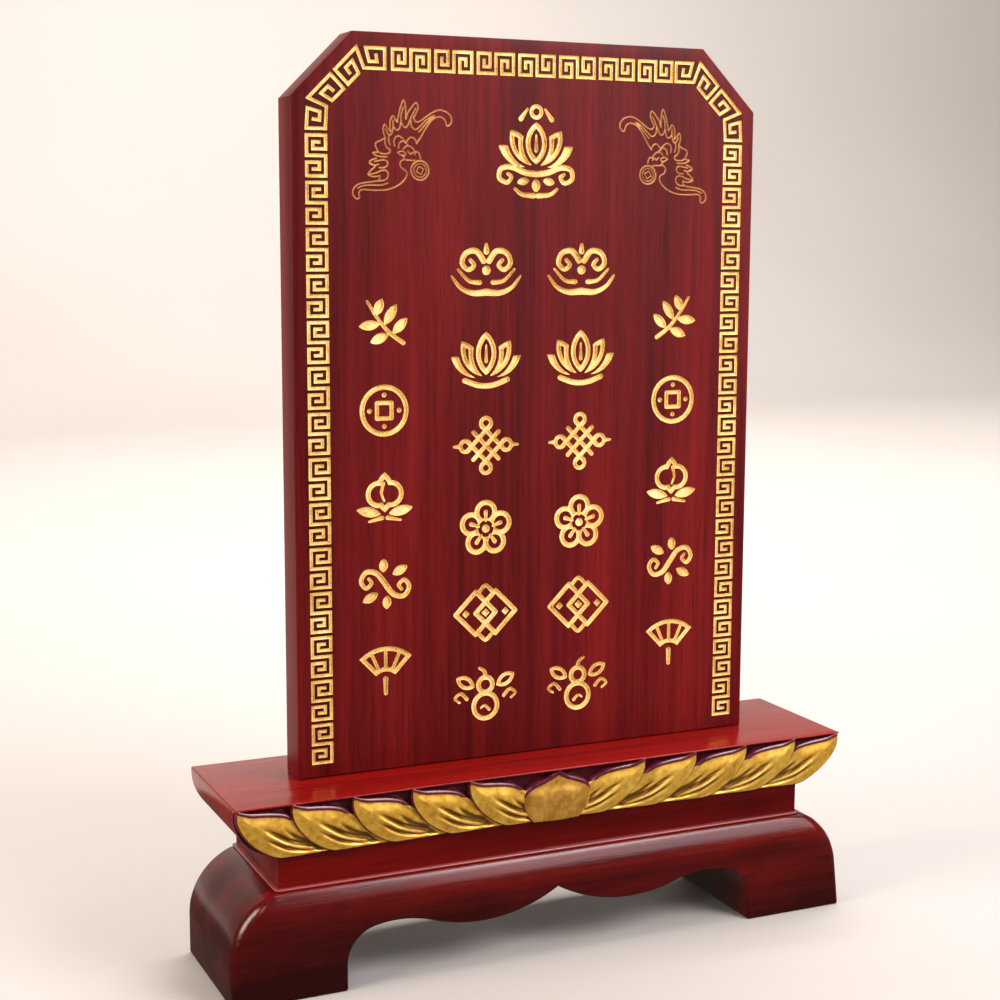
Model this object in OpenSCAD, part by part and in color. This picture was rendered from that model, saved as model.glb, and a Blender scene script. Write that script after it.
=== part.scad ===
// Household altar tablet: a tall board with cut corners, tenoned into a two-tier base.
// The base is a plank with a carved lotus strip, a recessed waist and a bulging stand on two feet.
// Origin: middle of the base on the floor. Front towards -Y, width along X, height along +Z.

/* [Tablet board] */
// Width of the board
board_w = 240; // [200:1:290]
// Height of the board above the top plank
board_h = 342; // [240:1:420]
// Thickness of the board
board_t = 18; // [14:0.5:22]
// Size of the 45 degree cut on each upper corner
corner_cut = 29.5; // [10:0.5:60]
// Distance of the board's face behind the plank's front edge
board_setback = 32; // [29:0.5:38]

/* [Fret border] */
// Distance of the fret's outer line from the board's sides and top
fret_margin = 7.3; // [6:0.1:9]
// Distance of the fret's outer line from the cut corners
fret_corner_margin = 6.2; // [5:0.1:8]
// Distance of the fret's lower end above the plank
fret_foot = 7.5; // [5:0.1:12]
// Distance between two lines of the fret
fret_step = 3; // [2.6:0.05:3.3]
// Width of a fret line
fret_line = 1.5; // [1:0.1:1.8]
// Space between two pairs of keys
fret_gap = 2.9; // [2.2:0.1:4]
// Straight part of the pair of keys that turns a corner
fret_corner_run = 13; // [11:0.1:16]
// Depth of the fret
fret_depth = 0.8; // [0.4:0.1:1.5]

/* [Carved marks] */
// Depth of the marks
mark_depth = 1.1; // [0.5:0.1:2]
// Width of the rims of the marks
mark_rim = 2.3; // [1.6:0.1:2.6]
// Distance of the inner columns from the middle
inner_x = 25; // [22:0.5:34]
// Distance of the outer columns from the board's sides
outer_margin = 43.5; // [38:0.5:48]
// Distance from one mark to the next in a column
mark_pitch = 40.7; // [36:0.1:48]
// Distance of the inner columns' first marks below the board's top
inner_drop = 107; // [100:0.5:120]
// Distance of the outer columns' first marks below the board's top
outer_drop = 130; // [120:0.5:150]
// Distance of the large mark below the board's top
crest_drop = 51; // [46:0.5:58]
// Least height of a mark's middle above the plank
mark_foot = 28; // [24:0.5:40]

/* [Tenons] */
// Width of each of the two tenons under the board
tenon_w = 50; // [30:1:70]
// Thickness of the tenons
tenon_t = 9; // [6:0.5:11]
// Length of the tenons below the board
tenon_len = 18; // [10:0.5:20]
// Distance between the middles of the two tenons
tenon_spacing = 120; // [90:1:140]
// Gap round a tenon in its mortise
tenon_clear = 0.3; // [0.2:0.05:0.6]
// Gap between the board's shoulder and the plank
seat_gap = 0.2; // [0.1:0.05:0.4]
// Depth of a mortise beyond the tenon's end
mortise_spare = 1.5; // [1:0.5:3]

/* [Top plank] */
// Length of the plank along its top
plank_l = 320; // [300:1:380]
// Depth of the plank with its carved strip
plank_d = 75; // [72:0.5:90]
// Thickness of the plank
plank_t = 26.5; // [25:0.5:34]
// Straight edge above the rounded ends
plank_edge = 1.5; // [0.5:0.5:4]

/* [Lotus strip] */
// Thickness of the carved strip along the plank's front
strip_t = 12; // [11.5:0.5:16]
// Depth of the carved ground behind the petals
relief = 4.2; // [2.5:0.1:5]
// Thin lip left along the strip's top edge
lip_h = 1; // [0.6:0.1:2]
// Number of leaning petals on each side of the middle one
side_petals = 5; // [4:1:6]
// Distance of the first leaning petal's tip from the middle
first_tip = 45.5; // [40:0.5:52]
// Distance of the last petal's tip from the plank's end
last_tip_gap = 0.5; // [0.3:0.1:2]
// Sideways run of a leaning petal from its tip to its root
petal_run = 36; // [30:0.5:44]
// Bulge of a petal's lower edge
petal_belly = 9.5; // [7:0.5:12]
// Bulge of a petal's upper edge
petal_back = 8.5; // [4:0.5:9]
// Turn of a leaning petal, which sinks its root under its neighbour
petal_tilt = 4; // [2:0.5:5]
// Half the width of the middle petal
bud_half_w = 18.3; // [14:0.1:22]
// Distance of the middle petal's widest part below its tip
bud_shoulder = 11.5; // [9:0.5:15]
// Half the width of the middle petal's root
bud_root_half_w = 9; // [6:0.5:12]
// Bulge of the middle petal's edges
bud_curve = 3; // [2:0.1:4]

/* [Waist] */
// Length of the recessed waist
waist_l = 277; // [262:1:290]
// Height of the waist
waist_h = 15.8; // [13:0.2:26]
// Distance of the waist behind the plank's front edge
waist_setback = 6.5; // [5:0.1:7.5]
// Width of the bead round the waist's foot
bead_w = 2; // [1.2:0.1:2.5]
// Height of the bead
bead_h = 1.3; // [0.8:0.1:1.8]
// Narrow flat between the bead and the stand's rounding
ledge_w = 0.8; // [0.4:0.1:1.2]

/* [Stand] */
// Greatest length of the stand
stand_l = 325; // [306:1:380]
// Height of the stand
stand_h = 50.5; // [46:0.5:70]
// Distance of the stand's face behind the plank's front edge
stand_setback = 0.6; // [0:0.1:1]
// Height of the bulging curve on the stand's ends
end_curve_h = 30.5; // [24:0.1:40]
// Height of the rounding along the stand's front
front_curve_h = 11; // [4:0.1:14]
// Width of each foot
foot_w = 55; // [48:0.5:58]
// Thickness of the front and back aprons
apron_t = 20; // [17:0.5:22]

/* [Arch] */
// Height of the pointed cusp in the middle of the arch
cusp_h = 34; // [32:0.1:37]
// Height of the lowest part of the hanging lobes
lobe_h = 23; // [20:0.1:24.5]
// Distance of a lobe's lowest point from the middle
lobe_x = 40; // [36:0.5:44]
// Height of the arch's crown beside each foot
crown_h = 30.2; // [29.5:0.1:31]
// Distance of the crown from the middle
crown_x = 83; // [80:0.5:86]
// Radius where the arch turns down into a foot
arch_corner_r = 17; // [14:0.5:19]

/* [Dowels and screws] */
// Diameter of the wooden dowels
dowel_d = 8; // [6:0.5:9]
// Depth of a dowel in each of the two pieces that it joins
dowel_grip = 11; // [8:0.5:12]
// Gap round a dowel, and beyond each of its ends
dowel_clear = 0.15; // [0.1:0.05:0.25]
// Height of the lower apron dowels above the floor
apron_dowel_low = 14; // [12:0.5:16]
// Height of the upper apron dowels above the floor
apron_dowel_high = 31; // [28:0.5:34]
// Diameter of the wood screws' shanks
screw_d = 4; // [3:0.5:5]
// Diameter of the screws' countersunk heads
screw_head_d = 8; // [7:0.5:9]
// Diameter of the screws' blunt points
screw_point_d = 1; // [0.6:0.1:1.4]
// Length of the screws
screw_len = 28; // [24:0.5:34]
// Gap round a screw
screw_clear = 0.1; // [0.05:0.05:0.2]
// Distance of the screws from the middle, along the plank
screw_x = 60; // [40:1:90]
// Distance of the screws from the middle of the board's thickness
screw_y = 9.5; // [8.8:0.1:9.5]

/* [Hidden] */
$fn = 96;
// Reach of a cutting shape past the face that it cuts
over = 1;
// Points along one arc of a sawn or carved outline
arc_steps = 14;
// Points along one side of a carved leaf
leaf_steps = 3;
// Points along one span of a carved line
line_steps = 2;
// Sides of a carved ring and of a small carved disc
ring_sides = 10;
disc_sides = 6;

wood = "#5c1714";
gilt = "#c89a3e";
peg_wood = "#d9b58a";
steel = "#9a9a9c";

front = -plank_d / 2;
back = plank_d / 2;
waist_top = stand_h + waist_h;
plank_top = waist_top + plank_t;
strip_back = front + strip_t;
board_face = front + board_setback;
board_mid = board_face + board_t / 2;
board_top = plank_top + board_h;
waist_front = front + waist_setback;
stand_front = front + stand_setback;
block_front = stand_front + apron_t;
block_back = back - apron_t;
block_mid = (block_front + block_back) / 2;

// One pair of fret keys, as steps along the border and in from its outer line
fret_keys = [[1, 1], [1, 2], [2, 2], [2, 0], [0, 0], [0, 3], [3, 3], [3, 0], [6, 0], [6, 3], [4, 3], [4, 1],
             [5, 1], [5, 2]];
// Steps along half a pair, and across the border
key_half = 3;
key_deep = 3;
// Least land between two lines of a pair that turns a corner
least_land = 0.6;

// Lines of the fret: where the outer and the inner one turn at the right cut corner
fret_w = key_deep * fret_step;
key_len = 2 * key_half * fret_step;
fret_out = fret_turns(fret_margin, fret_corner_margin);
fret_in = fret_turns(fret_margin + fret_w, fret_corner_margin + fret_w);
fret_side_end = fret_out[0][1] - fret_corner_run;
fret_top_end = fret_out[1][0] - fret_corner_run;
side_run = fret_side_end - plank_top - fret_foot;
side_keys = max(1, round(side_run / (key_len + fret_gap)));
side_pitch = side_run / side_keys;
top_run = 2 * fret_top_end - fret_gap;
top_keys = max(1, round(top_run / (key_len + fret_gap)));
top_pitch = top_run / top_keys;
corner_half = norm(fret_in[1] - fret_in[0]) / 2 - fret_gap / 2;
outer_x = board_w / 2 - outer_margin;

// Rounding of the plank's ends and of the petals' faces
end_tuck = (plank_l - waist_l) / 2;
face_tuck = waist_setback;
curve_drop = plank_t - plank_edge;
tip_pitch = (plank_l / 2 - last_tip_gap - first_tip) / (side_petals - 1);

// Rounding of the stand's ends and front
bead_reach = bead_w + ledge_w;
stand_end_tuck = (stand_l - waist_l) / 2 - bead_reach;
stand_front_tuck = waist_setback - bead_reach - stand_setback;

// Centres and radii of the arch's tangent arcs
foot_in = stand_l / 2 - foot_w;
lobe_rise = cusp_h - lobe_h;
lobe_r = (lobe_x ^ 2 + lobe_rise ^ 2) / (2 * lobe_rise);
lobe_c = [lobe_x, lobe_h + lobe_r];
crown_gap = lobe_c[1] - crown_h;
crown_r = ((crown_x - lobe_x) ^ 2 + crown_gap ^ 2 - lobe_r ^ 2) / (2 * (crown_h - lobe_h));
crown_c = [crown_x, crown_h - crown_r];
turn = asin((foot_in - arch_corner_r - crown_x) / (crown_r - arch_corner_r));
corner_c = crown_c + (crown_r - arch_corner_r) * [sin(turn), cos(turn)];
cusp_angle = atan2(cusp_h - lobe_c[1], -lobe_x);
bend_angle = atan2(crown_c[1] - lobe_c[1], crown_c[0] - lobe_c[0]);

// Dowel places: across the waist joint, and through the aprons into the foot blocks
waist_dowel_x = (foot_in + waist_l / 2) / 2;
waist_dowel_y = (block_back - block_front) / 4;
apron_dowel_x = foot_in + foot_w / 2;

// Points of an arc about a centre, between two angles
function arc(c, r, from, to) =
    [for (i = [0:arc_steps]) let (a = from + (to - from) * i / arc_steps) c + r * [cos(a), sin(a)]];

// Points of an arc from a to b that bulges to the left of its run, the last point left out
function bow(a, b, bulge, steps = arc_steps) =
    let (chord = b - a,
         span = norm(chord),
         left = [-chord[1], chord[0]] / span,
         r = (span ^ 2 / 4 + bulge ^ 2) / (2 * bulge),
         c = (a + b) / 2 + left * (bulge - r),
         half = asin(span / 2 / r),
         lead = atan2(left[1], left[0]))
    [for (i = [0:steps - 1]) let (t = lead + half - 2 * half * i / steps) c + r * [cos(t), sin(t)]];

function unit(v) = v / norm(v);
function left_of(v) = [-v[1], v[0]];
function polar(r, a) = r * [cos(a), sin(a)];

// Smooth curve through points
function smooth(p) =
    let (n = len(p) - 1)
    concat([for (i = [0:n - 1], k = [0:line_steps - 1])
        let (a = p[max(i - 1, 0)],
             b = p[i],
             c = p[i + 1],
             d = p[min(i + 2, n)],
             t = k / line_steps)
        (2 * b + (c - a) * t + (2 * a - 5 * b + 4 * c - d) * t ^ 2 + (3 * b - a - 3 * c + d) * t ^ 3) / 2],
        [p[n]]);

// Outline of a line along points, from one width to another, with mitred corners and square ends
function stroke(p, w, w_end) =
    let (n = len(p) - 1,
         run = [for (i = [0:n - 1]) unit(p[i + 1] - p[i])],
         mid = [for (i = [0:n]) p[i] - (i == 0 ? run[0] * w / 2 : i == n ? -run[n - 1] * w_end / 2 : [0, 0])],
         off = [for (i = [0:n])
             let (a = left_of(run[max(i - 1, 0)]),
                  b = left_of(run[min(i, n - 1)]))
             (a + b) / (1 + a * b) * (w + (w_end - w) * i / n) / 2])
    concat([for (i = [0:n]) mid[i] + off[i]], [for (i = [n:-1:0]) mid[i] - off[i]]);

// Turns of a fret line at the right cut corner, from its distances to the side and to the corner
function fret_turns(side_gap, corner_gap) =
    let (x = board_w / 2 - side_gap,
         z = board_top - side_gap,
         sum = board_w / 2 + board_top - corner_cut - corner_gap * sqrt(2))
    [[x, sum - x], [sum - z, z]];

// Line of one pair of keys between the border's outer and inner lines, each given by its start,
// its middle and its end
function key_line(outer, inner, turned) =
    [for (s = fret_keys)
        let (t = (turned ? 2 * key_half - s[0] : s[0]) / key_half,
             k = min(floor(t), 1),
             a = outer[k] + (outer[k + 1] - outer[k]) * (t - k),
             b = inner[k] + (inner[k + 1] - inner[k]) * (t - k))
        a + (b - a) * s[1] / key_deep];

// Solid between two depths from an outline drawn in X and Z
module along_y(from, to) {
    translate([0, to, 0]) rotate([90, 0, 0]) linear_extrude(to - from) children();
}

// Solid from one X to another from an outline drawn in Y and Z
module along_x(from, to) {
    translate([from, 0, 0]) rotate([90, 0, 90]) linear_extrude(to - from) children();
}

// Waste outside a rounded corner at the origin: out gives the outward sign across and up,
// tuck the curve's reach across and drop its reach down, where it meets the side squarely
module corner_waste(tuck, drop, out) {
    r = (tuck ^ 2 + drop ^ 2) / (2 * tuck);
    difference() {
        translate([out[0] > 0 ? -tuck : -over, out[1] > 0 ? -drop : -over])
            square([tuck + over, drop + over]);
        translate([-out[0] * r, -out[1] * drop]) circle(r);
    }
}

// The plank's outline from the front, with its ends curving in below
module plank_outline() {
    translate([0, waist_top]) difference() {
        translate([-plank_l / 2, 0]) square([plank_l, plank_t]);
        for (side = [-1, 1]) translate([side * plank_l / 2, 0])
            corner_waste(end_tuck, curve_drop, [side, -1]);
    }
}

// Section of the strip behind a petal's bulging face, with the face's top at the origin's Y
module petal_section() {
    translate([0, waist_top]) difference() {
        square([strip_t, plank_t]);
        corner_waste(face_tuck, curve_drop, [-1, -1]);
    }
}

// Section of the strip's carved ground, with a cove under its thin top lip
module ground_section() {
    intersection() {
        translate([relief, 0]) petal_section();
        translate([0, waist_top]) square([strip_t, plank_t]);
    }
    translate([0, plank_top - lip_h - relief]) difference() {
        square([relief, lip_h + relief]);
        circle(relief);
    }
}

// Outline of one leaning petal, tip up and outwards, root towards the middle
module leaning_petal(tip_x) {
    tip = [tip_x, plank_top];
    root = [tip_x - petal_run, waist_top];
    polygon(concat(bow(root, tip, petal_back), bow(tip, root, petal_belly)));
}

// Outline of the middle petal, a pointed bud
module middle_petal() {
    tip = [0, plank_top];
    shoulder = [bud_half_w, plank_top - bud_shoulder];
    root = [bud_root_half_w, waist_top];
    right = concat(bow(tip, shoulder, bud_curve), bow(shoulder, root, bud_curve), [root]);
    polygon(concat(right, [for (i = [len(right) - 1:-1:1]) [-right[i][0], right[i][1]]]));
}

module petals() {
    for (side = [0, 1], i = [0:side_petals - 1]) mirror([side, 0, 0]) {
        tip_x = first_tip + i * tip_pitch;
        intersection() {
            along_y(front - over, strip_back) leaning_petal(tip_x);
            translate([tip_x, front, 0]) rotate([0, 0, -petal_tilt])
                along_x(-petal_run - petal_belly, petal_belly) petal_section();
        }
    }
    intersection() {
        along_y(front - over, strip_back) middle_petal();
        translate([0, front, 0]) along_x(-bud_half_w - over, bud_half_w + over) petal_section();
    }
}

// The stand's outline from the front, with bulging ends
module stand_outline() {
    difference() {
        translate([-stand_l / 2, 0]) square([stand_l, stand_h]);
        for (side = [-1, 1]) translate([side * stand_l / 2, stand_h])
            corner_waste(stand_end_tuck, end_curve_h, [side, 1]);
    }
}

// The sawn arch: a cusp, two hanging lobes and two crowns, down to the feet
module arch_outline() {
    right = concat(arc(lobe_c, lobe_r, cusp_angle, bend_angle),
                   arc(crown_c, crown_r, bend_angle + 180, 90 - turn),
                   arc(corner_c, arch_corner_r, 90 - turn, 0),
                   [[foot_in, -over]]);
    polygon(concat(right, [for (i = [len(right) - 1:-1:1]) [-right[i][0], right[i][1]]]));
}

// Board of the stand between two depths, with the arch sawn out of it
module apron(from, to) {
    difference() {
        along_y(from, to) stand_outline();
        along_y(from - over, to + over) arch_outline();
    }
}

// Block between the aprons that fills out one foot
module foot_block(side) {
    difference() {
        along_y(block_front, block_back) intersection() {
            stand_outline();
            translate([side > 0 ? foot_in : -foot_in - foot_w - over, -over])
                square([foot_w + over, stand_h + 2 * over]);
        }
        dowel_set("waist", dowel_clear);
        dowel_set("front", dowel_clear);
        dowel_set("back", dowel_clear);
    }
}

// One dowel along +Z through the joint at the origin, or its hole when a gap is given
module dowel(gap) {
    translate([0, 0, -dowel_grip - gap]) cylinder(d = dowel_d + 2 * gap, h = 2 * (dowel_grip + gap));
}

module dowel_set(joint, gap) {
    for (side = [-1, 1]) {
        if (joint == "waist") for (y = [-1, 1] * waist_dowel_y)
            translate([side * waist_dowel_x, block_mid + y, stand_h]) dowel(gap);
        if (joint != "waist") for (z = [apron_dowel_low, apron_dowel_high])
            translate([side * apron_dowel_x, joint == "front" ? block_front : block_back, z])
                rotate([90, 0, 0]) dowel(gap);
    }
}

// One countersunk wood screw with its head at the origin and its point up, or its hole
module screw(gap) {
    head_h = (screw_head_d - screw_d) / 2;
    cylinder(d1 = screw_head_d + 2 * gap, d2 = screw_d + 2 * gap, h = head_h);
    cylinder(d = screw_d + 2 * gap, h = screw_len - screw_d + gap);
    translate([0, 0, screw_len - screw_d + gap])
        cylinder(d1 = screw_d + 2 * gap, d2 = screw_point_d + 2 * gap, h = screw_d);
}

module screw_set(gap) {
    for (x = [-1, 1] * screw_x, y = [-1, 1] * screw_y)
        translate([x, board_mid + y, stand_h]) screw(gap);
}

// Two tenons under the board, or their mortises when a gap is given
module tenon_set(gap, depth) {
    for (x = [-1, 1] * tenon_spacing / 2)
        translate([x - tenon_w / 2 - gap, board_mid - tenon_t / 2 - gap, plank_top - depth])
            cube([tenon_w + 2 * gap, tenon_t + 2 * gap, depth + over]);
}

module fret_key(outer, inner, turned) {
    polygon(stroke(key_line(outer, inner, turned), fret_line, fret_line));
}

// The fret up both sides, round the cut corners and along the top
module fret() {
    ends = [-1, 0, 1] * key_len / 2;
    for (side = [0, 1]) mirror([side, 0]) {
        for (k = [0:side_keys - 1]) {
            z = plank_top + fret_foot + key_len / 2 + k * side_pitch;
            fret_key([for (d = ends) [fret_out[0][0], z + d]],
                     [for (d = ends) [fret_in[0][0], z + d]], false);
        }
        if (corner_half > key_half * (fret_line + least_land)) {
            rise = unit(fret_out[1] - fret_out[0]) * fret_gap / 2;
            mid_out = (fret_out[0] + fret_out[1]) / 2;
            mid_in = (fret_in[0] + fret_in[1]) / 2;
            fret_key([[fret_out[0][0], fret_side_end], fret_out[0], mid_out - rise],
                     [[fret_in[0][0], fret_side_end], fret_in[0], mid_in - rise], false);
            fret_key([mid_out + rise, fret_out[1], [fret_top_end, fret_out[1][1]]],
                     [mid_in + rise, fret_in[1], [fret_top_end, fret_in[1][1]]], true);
        }
    }
    for (k = [0:top_keys - 1]) {
        x = (k - (top_keys - 1) / 2) * top_pitch;
        fret_key([for (d = ends) [x + d, fret_out[1][1]]], [for (d = ends) [x + d, fret_in[1][1]]],
                 x > -top_pitch / 2);
    }
}

// Parts of the carved marks: lines, leaves, rings and frames
module carved_line(points, w, w_end) {
    polygon(stroke(len(points) > 2 ? smooth(points) : points, w, w_end));
}

module leaf(a, b, w) {
    polygon(concat(bow(a, b, w / 2, leaf_steps), bow(b, a, w / 2, leaf_steps)));
}

// A leaf that is only a rim
module leaf_rim(a, b, w) {
    half = norm(b - a) / 2;
    r = (half ^ 2 + w ^ 2 / 4) / w;
    reach = sqrt((r - mark_rim) ^ 2 - (r - w / 2) ^ 2) * unit(b - a);
    difference() {
        leaf(a, b, w);
        leaf((a + b) / 2 - reach, (a + b) / 2 + reach, w - 2 * mark_rim);
    }
}

module carved_disc(c, r, sides = ring_sides) {
    translate(c) circle(r, $fn = sides);
}

module carved_ring(c, r) {
    difference() {
        carved_disc(c, r);
        carved_disc(c, r - mark_rim);
    }
}

module carved_frame(c, w, angle) {
    translate(c) rotate(angle) difference() {
        square(w, center = true);
        square(w - 2 * mark_rim, center = true);
    }
}

module both_sides() {
    for (side = [0, 1]) mirror([side, 0]) children();
}

module cloud() {
    both_sides() {
        carved_line([[1.4, 5], [5.2, 9.6], [10.5, 8.6], [12.4, 4], [9.2, 0.9], [6.3, 3]], 2.9, 1.9);
        carved_line([[0, -9.5], [7, -9.9], [13.2, -7.4], [17.5, -2.2]], 3.4, 1.2);
        carved_line([[3.4, -5], [9, -4.2], [14.4, 1]], 2.4, 1.2);
    }
    carved_line([[0, 12.6], [0, 9.4]], 1.6, 3);
    carved_disc([0, 0.6], 2.2, disc_sides);
}

module lotus() {
    leaf_rim([0, -7.5], [0, 13], 10.5);
    both_sides() {
        leaf_rim([5, -7], [12.6, 8.6], 7);
        leaf_rim([8, -8], [18, 1.4], 6);
    }
    carved_line([[-11, -9.8], [0, -12.6], [11, -9.8]], 2.6, 2.6);
}

module knot() {
    both_sides() rotate(45) for (y = [-5.2, 0, 5.2]) carved_line([[-9, y], [9, y]], 2.1, 2.1);
    for (a = [0:90:270]) carved_disc(polar(10.6, a), 3.6, disc_sides);
}

module blossom() {
    places = [for (k = [0:4]) 90 + 72 * k];
    difference() {
        union() {
            carved_disc([0, 0], 6.5);
            for (a = places) carved_disc(polar(8, a), 5.9);
        }
        carved_disc([0, 0], 4);
        for (a = places) carved_disc(polar(8, a), 5.9 - mark_rim);
    }
    carved_disc([0, 0], 2, disc_sides);
}

module lozenges() {
    both_sides() carved_frame([5.2, 0], 17.2, 45);
    for (z = [-1, 1]) carved_line([[-3.2, z * 10.6], [0, z * 13.4], [3.2, z * 10.6]], 2, 2);
}

module gourd() {
    carved_ring([0, -5.6], 7.4);
    carved_ring([0, 4.9], 4.9);
    carved_line([[0, 9.2], [0.6, 11.6], [3.2, 13.4]], 2.2, 1.4);
    both_sides() {
        leaf_rim([5.8, 4], [15.4, 9.4], 6.4);
        carved_line([[9.8, -1.4], [13, 1.6], [16, -0.6]], 1.9, 1.2);
    }
}

module leaf_spray() {
    carved_line([[-9.6, -9.4], [-3, -4.8], [3, 2], [8, 9.8]], 2.2, 1.3);
    leaf([-4.4, -5], [-11.6, 2], 4.6);
    leaf([-0.2, -1], [-6.4, 8.4], 4.6);
    leaf([-2.4, -5.4], [6.6, -9], 4.6);
    leaf([1.8, -0.6], [12.2, -1.6], 4.6);
    leaf([4.2, 3.2], [0.6, 11], 4.6);
}

module coin() {
    carved_ring([0, 0], 12);
    carved_frame([0, 0], 9.2, 0);
    for (a = [0:90:270]) carved_disc(polar(7.3, a), 1.15, disc_sides);
}

module peach() {
    difference() {
        union() {
            both_sides() carved_disc([3, 1.6], 6.4);
            leaf([0, 11.8], [0, -7], 9.6);
        }
        both_sides() carved_disc([3, 1.6], 6.4 - mark_rim);
    }
    both_sides() {
        leaf([2, -7.8], [14, -5.2], 4.8);
        carved_line([[1.4, -9.6], [7.8, -11]], 2.2, 1.2);
    }
}

module scroll() {
    for (turn = [0, 180]) rotate(turn) {
        carved_line([[0, 0], [4.2, 5.2], [9.4, 6.2], [12, 2], [9.6, -1.4], [6.8, 0.8]], 2.8, 1.6);
        leaf([1, 5.6], [0.6, 12], 4.4);
        leaf([-3.6, 4.2], [-11.2, 8], 4.4);
    }
}

module fan() {
    foot = [0, -8];
    near = 8;
    far = 18;
    ribs = [for (k = [-2:2]) 90 + 22 * k];
    for (r = [near, far]) carved_line([for (a = ribs) foot + polar(r, a)], 2.1, 2.1);
    for (a = ribs) carved_line([foot + polar(near, a), foot + polar(far, a)], 1.7, 1.7);
    carved_line([[0, -1], [0, -11.6]], 2.6, 2);
}

// The large mark above the columns: a lotus on cloud scrolls under a pearl
module crest() {
    leaf_rim([0, -6], [0, 13.5], 11);
    carved_ring([0, 18.2], 3.5);
    leaf([0, -12.8], [0, -19], 4.4);
    both_sides() {
        leaf_rim([5.4, -5.6], [13.2, 9.6], 7.4);
        leaf_rim([9, -6.4], [19.4, 2.4], 6.4);
        carved_line([[0, -10.6], [6, -9.8], [13, -7.4], [18.2, -8.4], [19, -12.6], [15, -14.6]], 3, 1.7);
        carved_line([[1.2, -20.6], [7.4, -20], [11, -17.4]], 2.6, 1.5);
        leaf([3.6, -13.4], [9.8, -14.6], 3.6);
    }
}

module inner_mark(i) {
    if (i == 0) cloud();
    if (i == 1) lotus();
    if (i == 2) knot();
    if (i == 3) blossom();
    if (i == 4) lozenges();
    if (i == 5) gourd();
}

module outer_mark(i) {
    if (i == 0) leaf_spray();
    if (i == 1) coin();
    if (i == 2) peach();
    if (i == 3) scroll();
    if (i == 4) fan();
}

// Two inner and two outer columns of marks under the large one
module marks() {
    both_sides() for (i = [0:5]) {
        inner_z = board_top - inner_drop - i * mark_pitch;
        outer_z = board_top - outer_drop - i * mark_pitch;
        if (inner_z > plank_top + mark_foot) translate([inner_x, inner_z]) inner_mark(i);
        if (outer_z > plank_top + mark_foot) translate([outer_x, outer_z]) outer_mark(i);
    }
    translate([0, board_top - crest_drop]) crest();
}

module tablet_board() color(wood) {
    difference() {
        along_y(board_face, board_face + board_t) polygon([
            [-board_w / 2, plank_top + seat_gap], [board_w / 2, plank_top + seat_gap],
            [board_w / 2, board_top - corner_cut], [board_w / 2 - corner_cut, board_top],
            [-board_w / 2 + corner_cut, board_top], [-board_w / 2, board_top - corner_cut]]);
        along_y(board_face - over, board_face + fret_depth) fret();
        along_y(board_face - over, board_face + mark_depth) marks();
    }
    tenon_set(0, tenon_len - seat_gap);
}

module top_plank() color(wood) difference() {
    along_y(strip_back, back) plank_outline();
    tenon_set(tenon_clear, tenon_len + mortise_spare);
    screw_set(screw_clear);
}

module lotus_moulding() color(gilt) intersection() {
    union() {
        translate([0, front, 0]) along_x(-plank_l / 2, plank_l / 2) ground_section();
        petals();
    }
    along_y(front - over, strip_back) plank_outline();
}

module waist_board() color(wood) difference() {
    union() {
        translate([-waist_l / 2, waist_front, stand_h]) cube([waist_l, back - waist_front, waist_h]);
        bead_l = waist_l + 2 * bead_w;
        translate([0, 0, stand_h]) intersection() {
            along_y(waist_front - bead_w, back) difference() {
                translate([-bead_l / 2, 0]) square([bead_l, bead_h]);
                for (side = [-1, 1]) translate([side * bead_l / 2, bead_h])
                    corner_waste(bead_h / 2, bead_h / 2, [side, 1]);
            }
            along_x(-bead_l / 2, bead_l / 2) difference() {
                translate([waist_front - bead_w, 0]) square([back - waist_front + bead_w, bead_h]);
                translate([waist_front - bead_w, bead_h]) corner_waste(bead_h / 2, bead_h / 2, [-1, 1]);
            }
        }
    }
    dowel_set("waist", dowel_clear);
    screw_set(screw_clear);
}

module apron_front() color(wood) difference() {
    apron(stand_front, block_front);
    along_x(-stand_l / 2 - over, stand_l / 2 + over) translate([stand_front, stand_h])
        corner_waste(stand_front_tuck, front_curve_h, [-1, 1]);
    dowel_set("front", dowel_clear);
}

module apron_back() color(wood) difference() {
    apron(block_back, back);
    dowel_set("back", dowel_clear);
}

module foot_block_left() color(wood) foot_block(-1);

module foot_block_right() color(wood) foot_block(1);

module waist_dowels() color(peg_wood) dowel_set("waist", 0);

module front_apron_dowels() color(peg_wood) dowel_set("front", 0);

module back_apron_dowels() color(peg_wood) dowel_set("back", 0);

module plank_screws() color(steel) screw_set(0);

tablet_board();
top_plank();
lotus_moulding();
waist_board();
apron_front();
apron_back();
foot_block_left();
foot_block_right();
waist_dowels();
front_apron_dowels();
back_apron_dowels();
plank_screws();
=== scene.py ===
"""Altar tablet on a tiered base: a carved and gilt lacquer board that lifts out of a lotus base."""
import math

import bmesh
import bpy
import numpy as np
from mathutils import Matrix, Vector
from mathutils.geometry import delaunay_2d_cdt


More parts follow.
